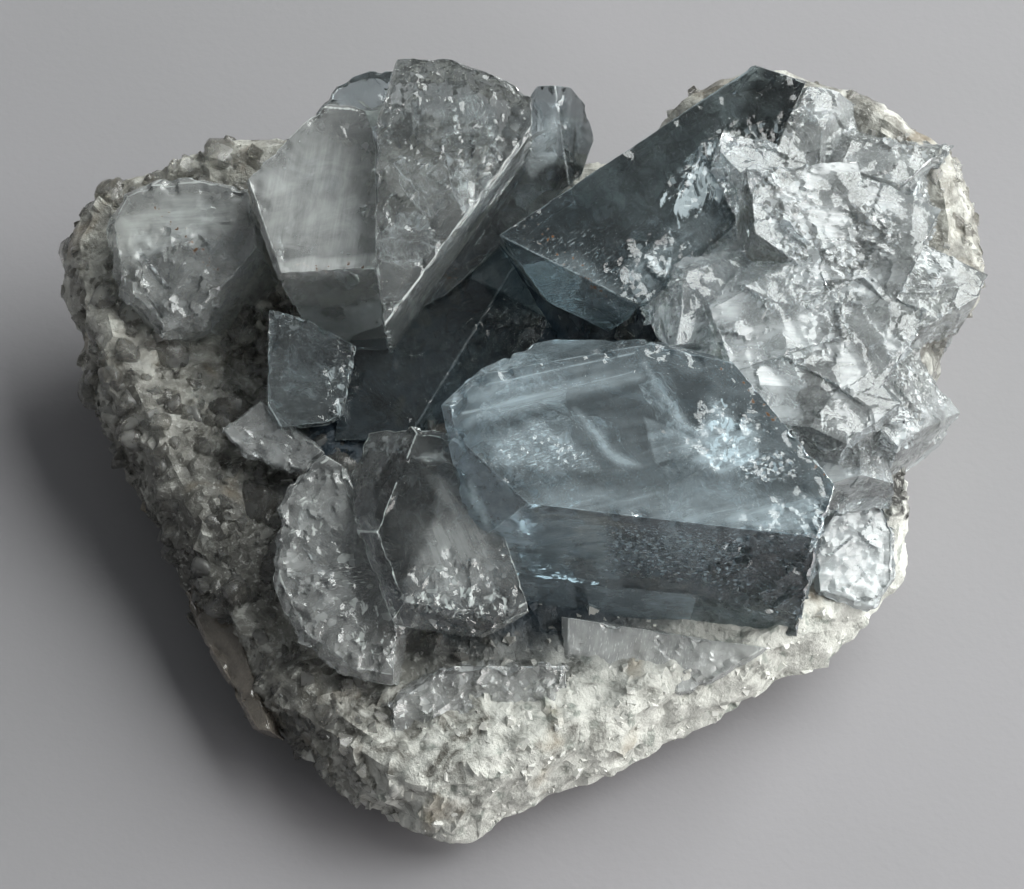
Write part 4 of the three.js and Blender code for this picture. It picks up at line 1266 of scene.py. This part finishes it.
def grain_shape(rounded=False):
    """A small block with a few corners broken off, or worn round."""
    bm = bmesh.new()
    bmesh.ops.create_cube(bm, size=2)
    thin = (1, random_numbers.uniform(0.7, 1), random_numbers.uniform(0.55, 0.9))
    for vertex in bm.verts:
        vertex.co = Vector([vertex.co[i] * thin[i] for i in range(3)])
    for _ in range(7):
        normal = Vector([random_numbers.gauss(0, 1) for _ in range(3)]).normalized()
        cut_away(bm, normal * random_numbers.uniform(0.5, 0.8), normal)
    bmesh.ops.recalc_face_normals(bm, faces=bm.faces[:])
    if rounded:
        divide(bm, 0.5)
        for _ in range(3):
            bmesh.ops.smooth_vert(
                bm, verts=bm.verts[:], factor=0.5, use_axis_x=True, use_axis_y=True, use_axis_z=True
            )
        seed = random_numbers.uniform(0, 50)
        displace(bm, lambda vertex: 0.16 * shells(vertex.co, 0.7, seed))
    bmesh.ops.triangulate(bm, faces=bm.faces[:])
    data = bpy.data.meshes.new("grain")
    bm.to_mesh(data)
    bm.free()
    return data


GRAIN_SHAPES = [grain_shape() for _ in range(24)]
LUMP_SHAPES = [grain_shape(rounded=True) for _ in range(12)]
print(len(GRAIN_SHAPES), "grain shapes and", len(LUMP_SHAPES), "worn ones")


# %% Spread the grains
BODIES = [crystal_planes(**spec) for spec in CRYSTALS.values()]
BATCH_SIZE = 3000


def in_a_crystal(place):
    return any(all((point - place).dot(away) > 0.3 for point, away in planes) for planes in BODIES)


def move_into(whole, part):
    """Adds one mesh to another, and frees the first."""
    data = bpy.data.meshes.new("part")
    part.to_mesh(data)
    part.free()
    whole.from_mesh(data)
    bpy.data.meshes.remove(data)


def grain_spots(surface, count, chosen):
    """A place and a normal on faces for which chosen(place) is a share of at most 1."""
    source = bmesh.new()
    source.from_mesh(surface.data)
    bmesh.ops.transform(source, matrix=from_metres, verts=source.verts[:])
    source.normal_update()
    open_spots = []
    for face in source.faces:
        place = face.calc_center_median()
        if chosen(place) > random_numbers.random() and not in_a_crystal(place):
            open_spots.append((place, face.normal.copy()))
    source.free()
    return random_numbers.sample(open_spots, min(count, len(open_spots)))


def grains_at(spots, smallest, largest, shapes):
    """One mesh of grains, each turned at random and sunk in by a part of its size."""
    whole, batch = bmesh.new(), bmesh.new()
    for place, normal in spots:
        size = smallest + (largest - smallest) * random_numbers.random() ** 2.5
        size *= 1 - 0.35 * chalkiness(place)
        turn = Euler([random_numbers.uniform(0, 6.3) for _ in range(3)]).to_matrix().to_4x4()
        known = len(batch.verts)
        batch.from_mesh(random_numbers.choice(shapes))
        sunk = random_numbers.uniform(0.3, 0.7) * size
        matrix = Matrix.Translation(place - normal * sunk) @ turn @ Matrix.Scale(size, 4)
        batch.verts.ensure_lookup_table()
        bmesh.ops.transform(batch, matrix=matrix, verts=batch.verts[known:])
        if len(batch.verts) > BATCH_SIZE:
            move_into(whole, batch)
            batch = bmesh.new()
    move_into(whole, batch)
    return whole


# %% Grain material
CLEAR_GRAIN = (0.42, 0.40, 0.36), (0.86, 0.86, 0.84)
CHALKY_GRAIN = (0.85, 0.85, 0.80)
GRAIN_IOR = 1.5


def grain_material():
    material, tree, shader = new_material("grains")
    chalky = crust_shares(tree)[0]
    lumps = ramp_nodes(tree, noise_nodes(tree, 2.0, 5, 0.65, 0.8, 4), 0.35, 0.65)
    # Painted light and shade: the clear grains are darker at the front and lighter at the back, for how the
    # light falls on them.
    upper = ramp_nodes(tree, axis_nodes(tree, "Y"), -0.006, 0.014, 0.75, 1.15)
    clear = scale_colour(tree, mix_colours(tree, lumps, *CLEAR_GRAIN), upper)
    feed(tree, shader, {
        "Base Color": mix_colours(tree, chalky, clear, CHALKY_GRAIN),
        "Transmission Weight": ramp_nodes(tree, chalky, 0, 1, 0.85, 0.15),
        "Roughness": ramp_nodes(tree, lumps, 0, 1, 0.08, 0.4), "IOR": GRAIN_IOR,
    })
    bump_nodes(tree, shader, noise_nodes(tree, 0.4, 4, 0.6), 0.4, 0.08)
    return material


# %% Make the grains
GRAIN_COUNT = 2900
LUMP_COUNT = 200


def sugary(place):
    in_pocket = step_between(13, 9, math.hypot(place.x - 2, place.y - 5)) * step_between(24, 20, place.z)
    return step_between(0.6, 2.5, place.z) * (1 - 0.9 * in_pocket)


def lumpy(place):
    return 0.8 * step_between(-8, -24, place.x) * step_between(2.5, 5, place.z)


def make_grains(name, spots, smallest, largest, material, shapes, sharp_degrees):
    grains = grains_at(spots, smallest, largest, shapes)
    zones = grains.verts.layers.float_color.new("zones")
    for vertex in grains.verts:
        vertex[zones] = (chalkiness(vertex.co), 0, 0, 1)
        vertex.co.z = max(vertex.co.z, 0.0)
    hand_over(to_object(grains, name, sharp_degrees), material)


glassy = grain_material()
spots = grain_spots(crust_piece, GRAIN_COUNT, sugary)
make_grains("crust_grains", spots, 0.3, 1.2, glassy, GRAIN_SHAPES, 1)
spots = grain_spots(crust_piece, LUMP_COUNT, lumpy)
make_grains("crust_lumps", spots, 1.2, 3.2, glassy, LUMP_SHAPES, 50)

# %% [markdown]
# ## Veils
# Most of the crystals are cracked inside. A crack is a thin bent sheet that shines where it is
# seen at a flat angle, with milky wisps on it. A single sheet has no inside for light to bend in.
# So each is a closed and very thin lens, cut off just under the crystal's faces.

# %% Cracks of each crystal
# centre, half length and half width, lean from the top face and its direction, bend
VEILS = {
    "main_crystal": [
        ((-7.5, -0.5, -1.8), (5.5, 3.0), 24, 200, 0.5), ((-2, 0.3, -3.5), (5.0, 4.0), 66, 40, 0.8),
        ((4.6, 4.4, -3.5), (5.5, 4.0), 62, 25, -0.6), ((5.5, -0.5, -2.2), (4.0, 2.5), 18, 120, 0.3),
        ((9, -5.5, -4.5), (10, 4.5), 30, 260, 0.8), ((-9, 3.5, -5), (8, 4.0), 38, 80, 0.6),
        ((12, -2, -8), (7, 6), 70, 10, 1.0),
    ],
    "dark_crystal": [
        ((7, 1.5, -1.6), (5, 3.5), 20, 60, 0.5), ((3, -6, -3), (6, 4), 35, 250, 0.8),
        ((8, -1, -4), (5, 5), 60, 20, 1.0),
    ],
    "back_crystal": [
        ((0, 6, -3), (6, 4), 35, 100, 1.0), ((-3, 0, -4), (7, 3), 60, 30, 0.8),
        ((2, 3, -2), (4, 6), 25, 10, 0.5), ((-5, -6, -3), (5, 2.5), 45, 60, 0.5),
    ],
    "milky_crystal": [
        ((1, -2, -2.5), (4, 6), 20, 180, 0.5), ((-2, 2, -4), (5, 4), 50, 60, 0.8),
        ((3, -4, -3), (3, 4), 62, 350, 0.4),
    ],
    "left_crystal": [
        ((0, 1, -3), (7, 4), 30, 40, 0.8), ((-3, -2, -3), (4, 5), 65, 20, 0.5),
        ((0.5, 0.5, -1.5), (6, 1.6), 80, 50, 0.3), ((3, -2, -4), (5, 4), 45, 300, 0.8),
    ],
    "window_crystal": [((0, 0, -4), (4, 3), 30, 90, 0.6), ((1, 3, -2), (3, 2), 55, 60, 0.3)],
    "far_back_crystal": [((1, 2, -3), (4, 5), 40, 300, 0.5), ((3, 6, -4), (4, 3), 55, 20, 0.5)],
    "clear_crystal": [
        ((2, 2, -3), (7, 3), 45, 330, 0.6), ((-3, 2, -4), (7, 4), 60, 10, 0.8),
        ((3, -4, -2.5), (5, 3.5), 25, 250, 0.8), ((-4, -3, -4), (4, 5), 35, 190, 1.0),
    ],
    "rounded_crystal": [
        ((0, 3, -3), (5, 4), 40, 20, 0.8), ((2, -3, -2), (4, 3.5), 30, 300, 0.8),
        ((-1, -1, -5), (5, 5), 60, 70, 1.0),
    ],
    "right_crystal": [((0, 0, -2), (4, 4), 30, 60, 0.8), ((1, 1, -3), (3, 4), 60, 200, 0.8)],
    "wedge_crystal": [((0, 0, -2), (4, 2), 30, 30, 0.4)],
    "pale_blade": [((2, 0, -2), (8, 2), 35, 80, 0.4), ((-2, 0, -3), (5, 3), 60, 20, 0.4)],
}
# how far under the crystal's faces the cracks end, and how deep they lie in the broken crystal
VEIL_COVER = 0.35
VEIL_DEPTH = 2.6
BROKEN_VEILS = 16
print(sum(map(len, VEILS.values())), "cracks in", len(VEILS), "crystals")


# %% Crack shapes
def bent_lens(size, bend, seed):
    """A thin bent lens with a wavy edge, in mm."""
    bm = bmesh.new()
    bmesh.ops.create_icosphere(bm, subdivisions=4, radius=1)
    for vertex in bm.verts:
        x, y, z = vertex.co
        edge = 1 + 0.35 * noise.noise(Vector((1.5 * x, 1.5 * y, seed)))
        wave = bend * (x * x + 0.4 * y * y) + 0.5 * noise.noise(Vector((1.8 * x, 1.8 * y, seed + 9.5)))
        wave += 0.12 * noise.noise(Vector((7 * x, 3 * y, seed + 3.5)))
        vertex.co = Vector((x * size[0] * edge, y * size[1] * edge, 0.05 * z + wave))
    return bm


def veil_body(spec, centre, size, lean, way, bend, seed):
    """A thin bent lens inside a crystal, cut off under its faces."""
    bm = bent_lens(size, bend, seed)
    turn = Matrix.Rotation(math.radians(way), 4, "Z") @ Matrix.Rotation(math.radians(lean), 4, "Y")
    own = Matrix(face_frame(spec["tilt"], spec["facing"])).transposed().to_4x4()
    place = Matrix.Translation(Vector(spec["at"])) @ own @ Matrix.Translation(Vector(centre)) @ turn
    bmesh.ops.transform(bm, matrix=place, verts=bm.verts[:])
    for point, normal in crystal_planes(**spec):
        cut_away(bm, point - normal * VEIL_COVER, normal)
    bmesh.ops.triangulate(bm, faces=[f for f in bm.faces if len(f.verts) > 3])
    bmesh.ops.recalc_face_normals(bm, faces=bm.faces[:])
    return bm


def broken_veil(spot, normal, number):
    """A small crack under a face of the broken crystal."""
    reach = random_numbers.uniform(1.6, 3.2)
    bm = bent_lens((reach, 0.7 * reach), 0.3, 50 + number)
    lean = Euler([random_numbers.uniform(*ends) for ends in ((-0.6, 0.6), (-0.6, 0.6), (0, 6))])
    turn = normal.to_track_quat("Z", "Y").to_matrix().to_4x4() @ lean.to_matrix().to_4x4()
    place = Matrix.Translation(spot - normal * VEIL_DEPTH) @ turn
    bmesh.ops.transform(bm, matrix=place, verts=bm.verts[:])
    return bm


# %% Veil material
VEIL_COLOURS = (0.97, 0.99, 1.0), (0.74, 0.82, 0.86)
VEIL_IOR = 1.35


def veil_material():
    material, tree, shader = new_material("veils")
    wisps = ramp_nodes(tree, noise_nodes(tree, 2.5, 7, 0.68, 1.5, 3), 0.46, 0.72)
    feed(tree, shader, {
        "Transmission Weight": ramp_nodes(tree, wisps, 0, 1, 1.0, 0.35),
        "Base Color": mix_colours(tree, wisps, *VEIL_COLOURS),
        "Roughness": ramp_nodes(tree, wisps, 0, 1, 0.03, 0.25), "IOR": VEIL_IOR,
    })
    return material


# %% Make the veils
veils = bmesh.new()
for owner, (name, sheets) in enumerate(VEILS.items()):
    for number, sheet in enumerate(sheets):
        move_into(veils, veil_body(CRYSTALS[name], *sheet, seed=3.3 * owner + 1.7 * number))
broken_spots = random_numbers.sample(INNER_SPOTS, min(BROKEN_VEILS, len(INNER_SPOTS)))
for number, (spot, normal) in enumerate(broken_spots):
    move_into(veils, broken_veil(spot, normal, number))
hand_over(to_object(veils, "inner_veils", 40), veil_material())
